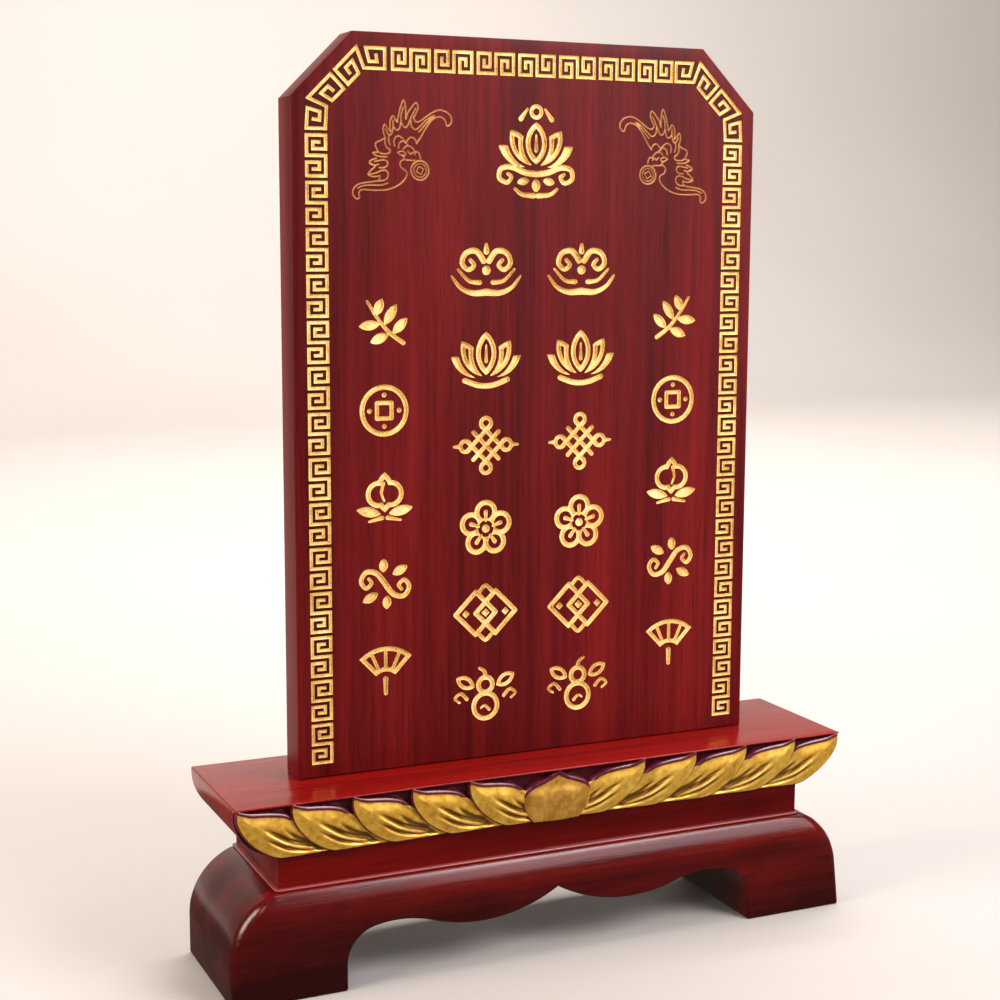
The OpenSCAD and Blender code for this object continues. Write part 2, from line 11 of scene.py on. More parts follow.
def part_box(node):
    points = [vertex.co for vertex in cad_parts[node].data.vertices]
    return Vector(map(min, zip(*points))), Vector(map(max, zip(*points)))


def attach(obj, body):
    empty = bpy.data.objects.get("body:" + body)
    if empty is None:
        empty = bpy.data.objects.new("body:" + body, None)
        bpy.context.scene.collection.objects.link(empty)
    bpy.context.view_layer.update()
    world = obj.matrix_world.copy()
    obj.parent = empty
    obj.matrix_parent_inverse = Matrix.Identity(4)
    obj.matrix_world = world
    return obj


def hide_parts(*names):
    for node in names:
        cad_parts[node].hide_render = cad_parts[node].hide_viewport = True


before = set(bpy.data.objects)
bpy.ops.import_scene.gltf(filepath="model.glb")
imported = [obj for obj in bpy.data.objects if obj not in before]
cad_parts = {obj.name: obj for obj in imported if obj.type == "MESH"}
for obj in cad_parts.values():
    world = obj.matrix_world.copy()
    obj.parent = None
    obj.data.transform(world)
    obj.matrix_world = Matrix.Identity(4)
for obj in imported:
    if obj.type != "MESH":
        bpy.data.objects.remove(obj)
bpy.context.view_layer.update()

# Shapes are drawn in millimetres and made into meshes in metres
MM = 0.001


def span(node):
    """Lowest and highest corner of a CAD node, in millimetres."""
    low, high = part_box(node)
    return low / MM, high / MM


BOARD_LOW, BOARD_HIGH = span("tablet_board")
PLANK_LOW, PLANK_HIGH = span("top_plank")
STRIP_LOW, STRIP_HIGH = span("lotus_moulding")
WAIST_LOW, WAIST_HIGH = span("waist_board")
APRON_LOW, APRON_HIGH = span("apron_front")
REAR_LOW, REAR_HIGH = span("apron_back")
BLOCK_LOW, BLOCK_HIGH = span("foot_block_right")
PLANK_TOP = PLANK_HIGH.z
BOARD_MID = (BOARD_LOW.y + BOARD_HIGH.y) / 2
CORNER_CUT = 29.5
# Between the plank and the board's shoulder
SEAT_GAP = 0.2
TENON_PLACES = (-60, 60)
TENON_HALF_W, TENON_HALF_T, TENON_ROOT = 25.0, 4.5, 2.0
MORTISE_PLAY, MORTISE_DEPTH, MORTISE_OVER = 0.3, 19.5, 3.0


# Flat outlines
def arc(centre, r, start, end, steps):
    """Points of an arc in X and Z, from one angle to another in degrees."""
    turns = [math.radians(start + (end - start) * i / steps) for i in range(steps + 1)]
    return [(centre[0] + r * math.cos(a), centre[1] + r * math.sin(a)) for a in turns]


def mirrored(points):
    """An outline's other half, in the order that goes on round it."""
    return [(-x, z) for x, z in reversed(points)]


def smooth_line(points, steps=6):
    """A smooth curve through hand-set points."""
    p = np.array([points[0], *points, points[-1]], float)
    out = []
    for i in range(1, len(p) - 2):
        for t in np.arange(steps) / steps:
            a, b, c, d = p[i - 1:i + 3]
            out.append(0.5 * (2 * b + (c - a) * t + (2 * a - 5 * b + 4 * c - d) * t ** 2
                              + (3 * b - a - 3 * c + d) * t ** 3))
    out.append(p[-2])
    return np.array(out)


def even_line(points, count, steps=8):
    """A smooth curve sampled at even distances."""
    line = smooth_line(points, steps)
    run = np.concatenate([[0], np.cumsum(np.hypot(*np.diff(line, axis=0).T))])
    at = np.linspace(0, run[-1], count)
    return np.stack([np.interp(at, run, line[:, k]) for k in (0, 1)], 1)


# Keeps the mitre of a very sharp corner short
LEAST_MITRE = 0.2


def headings(steps):
    """Unit vectors along an outline's steps, and those to their left."""
    ahead = steps / np.hypot(steps[:, 0], steps[:, 1])[:, None]
    return ahead, np.stack([-ahead[:, 1], ahead[:, 0]], 1)


def mitred(points, before, after, distance):
    """Corners moved to the left of the steps before and after them."""
    reach = 1 + (before * after).sum(1)
    return points + distance * (before + after) / np.maximum(reach, LEAST_MITRE)[:, None]


def inset(loop, distance):
    """A closed counter-clockwise outline moved inwards, with mitred corners."""
    p = np.array(loop, float)
    _, left = headings(np.roll(p, -1, 0) - p)
    return mitred(p, np.roll(left, 1, 0), left, np.reshape(distance, (-1, 1)))


# Solids
def ring_faces(count, n):
    """Faces between closed rings of n points each."""
    return [(k * n + i, (k + 1) * n + i, (k + 1) * n + (i + 1) % n, k * n + (i + 1) % n)
            for k in range(count - 1) for i in range(n)]


def slab(loop, front, back, round_front=0.0, round_back=0.0, dish=None, steps=5):
    """Shell of a board sawn to an outline, with rounded arrises and open front and back faces.

    A rounding is one radius, or one for each point of the outline; dish gives how far the front lies
    behind its plane at a height."""
    rings = []
    n = len(loop)
    for rounding, plane, sign in ((round_front, front, 1), (round_back, back, -1)):
        r = np.broadcast_to(rounding, n)
        turns = np.linspace(0, math.pi / 2, steps + 1) if r.any() else [math.pi / 2]
        for a in turns[::sign]:
            depths = plane + sign * r * (1 - math.cos(a))
            rings.append([(x, y + (dish(z) if dish and sign > 0 else 0.0), z)
                          for (x, z), y in zip(inset(loop, r * (1 - math.sin(a))), depths)])
    return [v for ring in rings for v in ring], ring_faces(len(rings), n)


def sawn_face(edge, depth, extra=()):
    """The face inside an outline; depth gives where it lies at a height."""
    n = len(edge)
    points = [Vector((float(x), float(z))) for x, z in [*edge, *extra]]
    verts, _, faces, _, _, _ = delaunay_2d_cdt(points, [(i, (i + 1) % n) for i in range(n)], [], 1, 1e-6)
    return [(v.x, depth(v.y), v.y) for v in verts], [tuple(f) for f in faces]


def closed_slab(loop, front, back, round_front=0.0, round_back=0.0):
    """A board sawn to an outline, with flat front and back faces."""
    verts, faces = slab(loop, front, back, round_front, round_back)
    return joined((verts, faces), sawn_face(inset(loop, round_front), lambda z: front),
                  sawn_face(inset(loop, round_back), lambda z: back))


def block(low, high):
    """A plain block between two corners."""
    (x0, y0, z0), (x1, y1, z1) = low, high
    return closed_slab([(x0, z0), (x1, z0), (x1, z1), (x0, z1)], y0, y1)


def joined(*shells):
    """Several shells as one list of points and faces."""
    verts, faces = [], []
    for v, f in shells:
        faces += [tuple(i + len(verts) for i in face) for face in f]
        verts += list(v)
    return verts, faces


def metres(verts):
    return [(x * MM, y * MM, z * MM) for x, y, z in verts]


def plain_mesh(name, verts, faces, which=None):
    """A mesh in metres from points in millimetres, with its doubles merged and faces outwards."""
    mesh = bpy.data.meshes.new(name)
    mesh.from_pydata(metres(verts), [], [list(f) for f in faces])
    if which is not None:
        mesh.polygons.foreach_set("material_index", which)
    tidy_mesh(mesh)
    return mesh


def tidy_mesh(mesh, gap=2e-6):
    """Merges a mesh's doubles and turns its faces outwards."""
    bm = bmesh.new()
    bm.from_mesh(mesh)
    bmesh.ops.remove_doubles(bm, verts=bm.verts, dist=gap)
    bmesh.ops.recalc_face_normals(bm, faces=bm.faces)
    bm.to_mesh(mesh)
    bm.free()


def placed(name, data):
    """A new object in the scene."""
    made = bpy.data.objects.new(name, data)
    bpy.context.scene.collection.objects.link(made)
    return made


def evaluated(thing):
    """A plain mesh of an object with its modifiers applied."""
    return bpy.data.meshes.new_from_object(thing.evaluated_get(bpy.context.evaluated_depsgraph_get()))


def finished(mesh, finishes, body, nodes=(), crease=35):
    """Places a mesh in the scene as a piece of the object."""
    for finish in finishes:
        mesh.materials.append(finish)
    mesh.shade_smooth()
    mesh.set_sharp_from_angle(angle=math.radians(crease))
    piece = placed(mesh.name, mesh)
    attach(piece, body)
    if nodes:
        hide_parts(*nodes)


def cut_by(mesh, cutter):
    """The mesh with another closed mesh cut out of it."""
    work, tool = placed("work", mesh), placed("tool", cutter)
    cut = work.modifiers.new("cut", "BOOLEAN")
    cut.operation = "DIFFERENCE"
    cut.solver = "EXACT"
    cut.object = tool
    out = evaluated(work)
    for o in (work, tool):
        bpy.data.objects.remove(o)
    return out


# Rows made with Geometry Nodes
ROW_INPUTS = {"Count": "Int", "First": "Vector", "Step": "Vector", "Turn": "Vector", "Mirror": "Vector",
              "Finish": "Material"}
ROW_NODES = {"given": "NodeGroupInput", "places": "GeometryNodeMeshLine",
             "turn": "FunctionNodeEulerToRotation", "setting": "GeometryNodeInstanceOnPoints",
             "real": "GeometryNodeRealizeInstances", "finish": "GeometryNodeSetMaterial",
             "result": "NodeGroupOutput"}
# For each node, what its sockets are linked to
ROW_LINKS = {"places": {"Count": "given Count", "Start Location": "given First", "Offset": "given Step"},
             "turn": {"Euler": "given Turn"},
             "setting": {"Points": "places Mesh", "Instance": "given Geometry", "Rotation": "turn Rotation",
                         "Scale": "given Mirror"},
             "real": {"Geometry": "setting Instances"},
             "finish": {"Geometry": "real Geometry", "Material": "given Finish"},
             "result": {"Geometry": "finish Geometry"}}


def row_tree():
    """Node tree that sets one carved piece out in a row, with its turn and its mirroring."""
    tree = bpy.data.node_groups.new("carved_row", "GeometryNodeTree")

    def socket(name, kind, in_out="INPUT"):
        return tree.interface.new_socket(name, in_out=in_out, socket_type="NodeSocket" + kind).identifier

    socket("Geometry", "Geometry")
    sockets = {name: socket(name, kind) for name, kind in ROW_INPUTS.items()}
    socket("Geometry", "Geometry", "OUTPUT")
    nodes = {name: tree.nodes.new(kind) for name, kind in ROW_NODES.items()}
    nodes["places"].mode = "OFFSET"
    for name, entries in ROW_LINKS.items():
        for entry, source in entries.items():
            start, out = source.split()
            tree.links.new(nodes[start].outputs[out], nodes[name].inputs[entry])
    return tree, sockets


ROW_TREE, ROW_SOCKETS = row_tree()


def set_out(mesh, finish, count, first, step, turn=0.0, mirror=(1, 1, 1)):
    """A plain mesh of one carved piece repeated along a row; places are in millimetres."""
    work = placed("row", mesh)
    row = work.modifiers.new("row", "NODES")
    row.node_group = ROW_TREE
    given = {"Count": count, "First": Vector(first) * MM, "Step": Vector(step) * MM,
             "Turn": Vector((0, math.radians(turn), 0)), "Mirror": Vector(mirror), "Finish": finish}
    for name, value in given.items():
        row[ROW_SOCKETS[name]] = value
    out = evaluated(work)
    work.modifiers.remove(row)
    bpy.data.objects.remove(work)
    return out


# Finishes
def operator(operation, swapped=False):
    """A Python operator that adds one Math node."""
    def apply(self, other):
        return self.book.maths(operation, *((other, self) if swapped else (self, other)))
    return apply


class Val:
    """A shader socket that takes Python arithmetic."""

    def __init__(self, book, socket):
        self.book, self.socket = book, socket

    __add__, __radd__ = operator("ADD"), operator("ADD", True)
    __sub__, __rsub__ = operator("SUBTRACT"), operator("SUBTRACT", True)
    __mul__, __rmul__ = operator("MULTIPLY"), operator("MULTIPLY", True)


class Finish:
    """One procedural material, with a shader whose sockets take numbers or Val expressions."""

    def __init__(self, name):
        self.material = bpy.data.materials.new(name)
        self.material.use_nodes = True
        self.tree = self.material.node_tree
        self.shader = self.tree.nodes["Principled BSDF"]

    def node(self, kind, settings=None, sockets=None, out=0):
        """Any node: its settings first, then the values or links of its sockets."""
        made = self.tree.nodes.new(kind)
        for name, value in (settings or {}).items():
            if name == "stops":
                ramp = made.color_ramp
                while len(ramp.elements) < len(value):
                    ramp.elements.new(0.5)
                for element, (place, colour) in zip(ramp.elements, value):
                    element.position = place
                    element.color = (*colour, 1.0)
            else:
                setattr(made, name, value)
        self.fill(made, sockets or {})
        return Val(self, made.outputs[out])

    def maths(self, operation, a, b=0.5):
        return self.node("ShaderNodeMath", {"operation": operation}, {0: a, 1: b})

    def fill(self, made, sockets):
        for name, value in sockets.items():
            if isinstance(value, Val):
                self.tree.links.new(value.socket, made.inputs[name])
            else:
                made.inputs[name].default_value = value

    def where(self):
        return self.node("ShaderNodeTexCoord", out="Object")

    def noise(self, scale, detail=3.0, rough=0.5, warp=0.0):
        """Noise on Object coordinates, with its own scale along each axis."""
        place = self.node("ShaderNodeVectorMath", {"operation": "MULTIPLY"}, {0: self.where(), 1: scale})
        return self.node("ShaderNodeTexNoise", {}, {"Vector": place, "Scale": 1.0, "Detail": detail,
                                                    "Roughness": rough, "Distortion": warp})

    def ramp(self, fac, stops):
        return self.node("ShaderNodeValToRGB", {"stops": stops}, {"Fac": fac})

    def step(self, value, low, high):
        """0 below low, 1 above high and smooth between."""
        return self.node("ShaderNodeMapRange", {"interpolation_type": "SMOOTHSTEP"},
                         {"Value": value, "From Min": low, "From Max": high})

    def mix(self, fac, a, b):
        """Colour a where fac is 0 and b where it is 1."""
        def full(c):
            return c if isinstance(c, Val) else (*c, 1.0)
        return self.node("ShaderNodeMix", {"data_type": "RGBA"}, {0: fac, 6: full(a), 7: full(b)}, out=2)

    def bump(self, height, distance, strength=1.0):
        return self.node("ShaderNodeBump", {}, {"Height": height, "Distance": distance, "Strength": strength},
                         out="Normal")

    def done(self, **sockets):
        self.fill(self.shader, {name.replace("_", " "): value for name, value in sockets.items()})
        return self.material


# The fret's band on the board, in millimetres from the edge, with soft limits
FRET_BAND_OUT, FRET_BAND_IN, FRET_BAND_FOOT = (6.2, 6.8), (16.4, 17.0), (6.3, 6.8)
FRET_BAND_CORNER = 0.9
# Painted shade: the board's colour between the fret's lines goes towards this dark brown, by this share
FRET_SHADE_COLOUR, FRET_SHADE_SHARE = (0.022, 0.0045, 0.0022), 0.62
# Heights in metres between which the stand's colour darkens towards the floor: painted shade
PAINTED_SHADE_LOW, PAINTED_SHADE_HIGH = 0.004, 0.048
# Scales of the grain, across it and along it, and of the mottled figure along each axis
GRAIN_BANDS, GRAIN_LINES, GRAIN_PORES, MOTTLE = (38, 2.6), (330, 7.0), (1500, 34.0), (14, 8, 48)
PORE_EDGE, PORE_SHARE, PORE_SHADE = (0.30, 0.42), 0.45, 0.45
# Where the dark, middle and light shades lie in the noise
STAIN_STOPS, GILT_STOPS, STOCK_STOPS = (0.30, 0.50, 0.70), (0.33, 0.5, 0.66), (0.3, 0.7)
# Painted shade with some brown patina in the petals' vein grooves, and a painted highlight on the ridges
# beside them
VEIN_SHADE_AND_PATINA, RIDGE_HIGHLIGHT_GOLD = (0.13, 0.048, 0.006), (0.98, 0.78, 0.24)
RIM_REDS = [(0.35, (0.060, 0.004, 0.010)), (0.65, (0.120, 0.010, 0.022))]
FLOOR_GREYS = [(0.3, (0.43, 0.405, 0.385)), (0.7, (0.45, 0.425, 0.405))]


def fret_shade_mask(f):
    """1 on the board's front between the fret's outer and inner lines, where painted shade darkens the board,
    0 elsewhere.
    """
    def past(value, limits, start=0.0):
        return f.step(value, *((start + limit) * MM for limit in limits))

    where = f.where()
    x, y, z = (f.node("ShaderNodeSeparateXYZ", {}, {0: where}, out=axis) for axis in "XYZ")
    side = BOARD_HIGH.x * MM - f.maths("ABSOLUTE", x)
    top = BOARD_HIGH.z * MM - z
    corner = (side + top - CORNER_CUT * MM) * math.sqrt(0.5) + FRET_BAND_CORNER * MM
    gap = f.maths("MINIMUM", f.maths("MINIMUM", side, top), corner)
    front = 1 - past(y, (0.1, 0.3), BOARD_LOW.y)
    band = past(gap, FRET_BAND_OUT) * (1 - past(gap, FRET_BAND_IN))
    return band * front * past(z, FRET_BAND_FOOT, PLANK_TOP)


def lacquer(name, along, tones, gloss, shine, streaks=0.38, mottle=0.0, painted_shade_below=0.0, painted_fret_shade=None):
    """Stained wood under lacquer, with its grain along X or Z and a mottled figure across it.

    The colour is darker by painted_shade_below towards the floor, as painted shade, and darker where
    painted_fret_shade is 1, as painted shade between the fret's lines."""
    f = Finish(name)

    def grain(across, lengthways):
        return (lengthways, across, across) if along == "X" else (across, across, lengthways)

    bands = f.noise(grain(*GRAIN_BANDS), 3.0, 0.55, 0.6)
    lines = f.noise(grain(*GRAIN_LINES), 4.0, 0.6, 0.3)
    pores = f.noise(grain(*GRAIN_PORES), 2.0)
    fine = f.step(pores, *PORE_EDGE)
    tone = bands * (1 - streaks) + lines * streaks
    if mottle:
        tone = tone + (f.noise(MOTTLE, 2.0, 0.5, 1.2) - 0.5) * mottle
    # Painted shade: the colour darkens towards the floor
    if painted_shade_below:
        height = f.node("ShaderNodeSeparateXYZ", {}, {0: f.where()}, out="Z")
        tone = tone - (1 - f.step(height, PAINTED_SHADE_LOW, PAINTED_SHADE_HIGH)) * painted_shade_below
    colour = f.ramp(tone, list(zip(STAIN_STOPS, tones)))
    pore_colour = tuple(PORE_SHADE * c for c in tones[0])
    colour = f.mix(fine * PORE_SHARE + (1 - PORE_SHARE), pore_colour, colour)
    # Painted shade between the fret's lines
    if painted_fret_shade:
        colour = f.mix(painted_fret_shade(f) * FRET_SHADE_SHARE, colour, FRET_SHADE_COLOUR)
    height = lines * 0.6 + fine * 0.4
    return f.done(Base_Color=colour, Roughness=gloss + lines * 0.16, Specular_IOR_Level=shine,
                  Normal=f.bump(height, 0.00012, 0.5))


def gilt_wash(f, shades, speck_size):
    """Gold paint over carved wood: its colour and a stippled surface."""
    patch = f.noise((90,) * 3, 3.0, 0.55)
    speck = f.noise((speck_size,) * 3, 2.0, 0.6)
    colour = f.ramp(patch * 0.45 + speck * 0.55, list(zip(GILT_STOPS, shades)))
    return colour, speck


def carved_gilt(name, shades):
    """Gold paint in the board's carving."""
    f = Finish(name)
    colour, speck = gilt_wash(f, shades, 1150)
    return f.done(Base_Color=colour, Metallic=0.2, Roughness=0.42 + speck * 0.2,
                  Normal=f.bump(speck, 0.0004, 0.8))


def petal_gilt(name, shades):
    """Gold paint on the petals that stops short of their red upper rims, darkened in the vein grooves as
    painted shade with some brown patina, and lightened on the ridges beside them as a painted highlight.
    """
    f = Finish(name)
    colour, speck = gilt_wash(f, shades, 300)
    edge = f.noise((500,) * 3, 2.0)
    paint = f.node("ShaderNodeAttribute", {"attribute_name": "gilt"}, out="Fac")
    groove = f.node("ShaderNodeAttribute", {"attribute_name": "vein"}, out="Fac")
    cover = f.step(paint + edge * 0.3 - 0.15, 0.35, 0.65)
    # Painted shade with some patina in the grooves, then a painted highlight on the ridges
    colour = f.mix(f.step(groove, 0.05, 0.9) * 0.9, colour, VEIN_SHADE_AND_PATINA)
    colour = f.mix(f.step(groove, -0.05, -0.5) * 0.6, colour, RIDGE_HIGHLIGHT_GOLD)
    red = f.ramp(edge, RIM_REDS)
    return f.done(Base_Color=f.mix(cover, red, colour), Metallic=cover * 0.62, Specular_IOR_Level=0.65,
                  Roughness=0.17 + cover * 0.13 + speck * 0.08, Normal=f.bump(speck, 0.00012, 0.5))


def bare_stock(name, scale, detail, shades, gloss, spread, relief, metal=0.0):
    """Bare wood or metal with fine streaks."""
    f = Finish(name)
    streak = f.noise(scale, detail)
    colour = f.ramp(streak, list(zip(STOCK_STOPS, shades)))
    return f.done(Base_Color=colour, Metallic=metal, Roughness=gloss + streak * spread,
                  Normal=f.bump(streak, relief, 0.5))


def pale_floor():
    f = Finish("pale_floor")
    cloud = f.noise((1.5,) * 3, 2.0)
    return f.done(Base_Color=f.ramp(cloud, FLOOR_GREYS), Roughness=0.75)


# Each lacquer: its grain, its dark, middle and light stain, gloss, shine, streaks and mottling
BOARD_RED = lacquer(
    "board_lacquer", "Z", [(0.034, 0.0014, 0.0018), (0.098, 0.0036, 0.0040), (0.160, 0.0070, 0.0064)],
    0.30, 0.085, painted_fret_shade=fret_shade_mask)
BASE_RED = lacquer(
    "base_lacquer", "X", [(0.070, 0.0012, 0.0009), (0.172, 0.0030, 0.0022), (0.260, 0.0064, 0.0036)],
    0.12, 0.22)
# Painted shade: a dark maroon copy of the base lacquer for the cove and the ground behind the petals
COVE_SHADED_RED = lacquer(
    "cove_painted_shade", "X", [(0.016, 0.0006, 0.0024), (0.038, 0.0014, 0.0052), (0.065, 0.0030, 0.0085)],
    0.14, 0.5)
# The stand's lacquer is the base lacquer made darker as painted shade on its low upright faces, and darker
# still towards the floor by painted_shade_below
STAND_SHADED_RED = lacquer(
    "stand_lacquer_shaded", "X", [(0.019, 0.0005, 0.0004), (0.056, 0.0010, 0.0008), (0.124, 0.0028, 0.0020)],
    0.13, 0.40, 0.16, 0.40, painted_shade_below=0.15)
# The waist's lacquer is the base lacquer made darker as painted shade on its upright faces
WAIST_SHADED_RED = lacquer(
    "waist_lacquer_shaded", "X", [(0.030, 0.0007, 0.0005), (0.076, 0.0011, 0.0008), (0.120, 0.0026, 0.0018)],
    0.13, 0.2, 0.2, 0.2)
# Painted highlight: a lighter, pinker copy of the lacquer that stands for the highlight line along the bead
BEAD_HIGHLIGHT_RED = lacquer(
    "bead_painted_highlight", "X", [(0.10, 0.012, 0.013), (0.20, 0.032, 0.034), (0.30, 0.065, 0.066)], 0.16, 0.5)
PALE_FLOOR = pale_floor()
CARVED_GILT = carved_gilt("carved_gilt", [(0.46, 0.26, 0.05), (0.86, 0.58, 0.18), (0.98, 0.80, 0.42)])
THIN_GILT = carved_gilt("thin_gilt", [(0.28, 0.11, 0.030), (0.46, 0.215, 0.060), (0.64, 0.35, 0.11)])
PETAL_GILT = petal_gilt("petal_gilt", [(0.58, 0.285, 0.030), (0.84, 0.475, 0.056), (0.95, 0.65, 0.12)])
BUD_GILT = petal_gilt("bud_gilt", [(0.40, 0.175, 0.022), (0.62, 0.315, 0.042), (0.76, 0.45, 0.080)])


# Carving drawn as distance fields
ORNAMENT_PITCH = 0.34


def polar(r, turn):
    """A point at a distance and an angle in degrees from the middle."""
    return r * math.cos(math.radians(turn)), r * math.sin(math.radians(turn))


class Field:
    """A small drawing: distances in millimetres to its marks, negative inside them."""

    def __init__(self, half_w, half_h, pitch=ORNAMENT_PITCH):
        self.xs = np.arange(-half_w, half_w + pitch, pitch)
        self.zs = np.arange(-half_h, half_h + pitch, pitch)
        self.x, self.z = np.meshgrid(self.xs, self.zs)
        self.d = np.full(self.x.shape, 99.0)

    def add(self, *marks):
        for mark in marks:
            self.d = np.minimum(self.d, mark)
        return self

    def cut(self, *marks):
        for mark in marks:
            self.d = np.maximum(self.d, -mark)
        return self

    def disc(self, x, z, r):
        return np.hypot(self.x - x, self.z - z) - r

    def ring(self, x, z, r, width):
        return np.abs(self.disc(x, z, r)) - width / 2

    def box(self, x, z, half_x, half_z, turn=0.0):
        a = math.radians(turn)
        u = (self.x - x) * math.cos(a) + (self.z - z) * math.sin(a)
        v = (self.z - z) * math.cos(a) - (self.x - x) * math.sin(a)
        dx, dz = np.abs(u) - half_x, np.abs(v) - half_z
        return np.hypot(np.maximum(dx, 0), np.maximum(dz, 0)) + np.minimum(np.maximum(dx, dz), 0)

    def frame(self, x, z, half_x, half_z, width, turn=0.0):
        return np.abs(self.box(x, z, half_x, half_z, turn)) - width / 2

    def line(self, points, width, tip=None):
        """A stroke along points, which may taper to a tip."""
        p = smooth_line(points, 5) if len(points) > 2 else np.array(points, float)
        tip = width if tip is None else tip
        reach = np.full(self.x.shape, 99.0)
        steps = len(p) - 1
        for i in range(steps):
            (ax, az), (bx, bz) = p[i], p[i + 1]
            ux, uz = bx - ax, bz - az
            t = np.clip(((self.x - ax) * ux + (self.z - az) * uz) / max(ux * ux + uz * uz, 1e-9), 0, 1)
            r = width / 2 + (tip - width) / 2 * (i + t) / steps
            reach = np.minimum(reach, np.hypot(self.x - ax - t * ux, self.z - az - t * uz) - r)
        return reach

    def petal(self, a, b, width):
        """A pointed leaf between two points."""
        (ax, az), (bx, bz) = a, b
        half = math.hypot(bx - ax, bz - az) / 2
        r = (half ** 2 + (width / 2) ** 2) / width
        mx, mz = (ax + bx) / 2, (az + bz) / 2
        nx, nz = -(bz - az) / (2 * half), (bx - ax) / (2 * half)
        off = r - width / 2
        return np.maximum(*(self.disc(mx + s * nx * off, mz + s * nz * off, r) for s in (1, -1)))

    def hem(self, mark, width):
        """A band along the inside of a mark's edge."""
        return np.maximum(mark, -mark - width)

    def both(self, points, width, tip=None):
        """A stroke and its mirror image."""
        return np.minimum(*(self.line([(s * x, z) for x, z in points], width, tip) for s in (-1, 1)))

    def leaves(self, a, b, width):
        """A pointed leaf and its mirror image."""
        return np.minimum(*(self.petal((s * a[0], a[1]), (s * b[0], b[1]), width) for s in (-1, 1)))


def thinned(loop, slack):
    """A closed outline without the points that lie on a straight run."""
    p = np.array(loop)
    far = int(np.argmax(((p - p[0]) ** 2).sum(1)))
    keep = {0, far}
    todo = [(0, far), (far, len(p))]
    while todo:
        a, b = todo.pop()
        if b - a < 2:
            continue
        start, end = p[a], p[b % len(p)]
        run = end - start
        span_len = math.hypot(*run)
        rest = p[a + 1:b] - start
        off = (np.abs(rest[:, 0] * run[1] - rest[:, 1] * run[0]) / span_len if span_len > 1e-9
               else np.hypot(rest[:, 0], rest[:, 1]))
        worst = int(np.argmax(off))
        if off[worst] > slack:
            keep.add(a + 1 + worst)
            todo += [(a, a + 1 + worst), (a + 1 + worst, b)]
    return p[sorted(keep)]


def traced(field, level, slack=0.035):
    """Closed outlines of a field at a level, traced cell by cell."""
    d = field.d - level
    d = np.where(np.abs(d) < 1e-6, 1e-6, d)
    inside = d < 0
    mixed = inside[:-1, :-1].astype(int) + inside[:-1, 1:] + inside[1:, :-1] + inside[1:, 1:]
    joins = {}

    def point(key):
        j, i, down = key
        j2, i2 = (j + 1, i) if down else (j, i + 1)
        t = d[j, i] / (d[j, i] - d[j2, i2])
        xs, zs = field.xs, field.zs
        return xs[i] + t * (xs[i2] - xs[i]), zs[j] + t * (zs[j2] - zs[j])

    for j, i in zip(*np.nonzero((mixed > 0) & (mixed < 4))):
        corner = [inside[j, i], inside[j, i + 1], inside[j + 1, i + 1], inside[j + 1, i]]
        edge = [(j, i, False), (j, i + 1, True), (j + 1, i, False), (j, i, True)]
        cuts = [edge[k] for k in range(4) if corner[k] != corner[(k + 1) % 4]]
        if len(cuts) == 4:
            middle = d[j:j + 2, i:i + 2].sum() < 0
            cuts = edge if middle == corner[0] else [edge[3], *edge[:3]]
        for a, b in zip(cuts[::2], cuts[1::2]):
            joins.setdefault(a, []).append(b)
            joins.setdefault(b, []).append(a)
    loops, seen = [], set()
    for start in joins:
        if start in seen:
            continue
        walk, ahead = [], [start]
        while ahead:
            walk.append(ahead[0])
            seen.add(ahead[0])
            ahead = [k for k in joins[ahead[0]] if k not in seen]
        if len(walk) > 5:
            loops.append(thinned([point(k) for k in walk], slack))
    return [loop for loop in loops if len(loop) > 3]


class Carving:
    """Cut outlines on the board's face: points with a depth, and the edges between them."""

    def __init__(self):
        self.points, self.depths, self.edges = [], [], []

    def loop(self, points, depth):
        first = len(self.points)
        n = len(points)
        self.points += [(float(x), float(z)) for x, z in points]
        self.depths += [depth] * n
        self.edges += [(first + i, first + (i + 1) % n) for i in range(n)]

    def mark(self, rims, floors, depth, x, z, mirror=False):
        """One drawing set at a place, with its rim on the face and its floor below."""
        sign = -1 if mirror else 1
        for loops, level in ((rims, 0.0), (floors, depth)):
            for points in loops:
                self.loop([(x + sign * px, z + pz) for px, pz in points], level)

    def mesh(self, mesh):
        """Outlines from a mesh of loose edges whose Y gives the depth."""
        first = len(self.points)
        for v in mesh.vertices:
            self.points.append((v.co.x / MM, v.co.z / MM))
            self.depths.append(v.co.y / MM)
        self.edges += [(first + e.vertices[0], first + e.vertices[1]) for e in mesh.edges]


# Fret border
FRET_LINE = 1.55
FRET_SLOPE = 0.42
FRET_DEPTH = 0.75
FRET_STEP = 2.98
FRET_END = 0.8
# The border's outer line, its first row up the sides and the pitch of the rows
FRET_OUT, FRET_FIRST, FRET_RISE, FRET_ROWS = 112.65, 16.45, 20.8, 14
# Along the top: its height, where the keys to the left and right of the middle start, and their pitch
FRET_TOP, FRET_LEFT, FRET_RIGHT, FRET_ACROSS = 334.85, -62.6, 0.7, 21.1
# One key pair, as steps along the border and in from its outer edge
FRET_PATH = [(1, 1), (1, 2), (2, 2), (2, 0), (0, 0), (0, 3), (3, 3), (3, 0), (6, 0), (6, 3), (4, 3), (4, 1),
             (5, 1), (5, 2)]
# Keys bent over a corner: outer and inner points at the start, the mitre and the end, and whether reversed
FRET_CORNERS = [([(-112.65, 298.75), (-111.7, 312.0), (-101.1, 322.6)],
                 [(-103.75, 298.75), (-103.1, 308.5), (-94.9, 316.4)], False),
                ([(-99.0, 324.7), (-88.9, 334.85), (-75.3, 334.85)],
                 [(-92.8, 318.5), (-85.3, 325.95), (-75.3, 325.95)], True)]


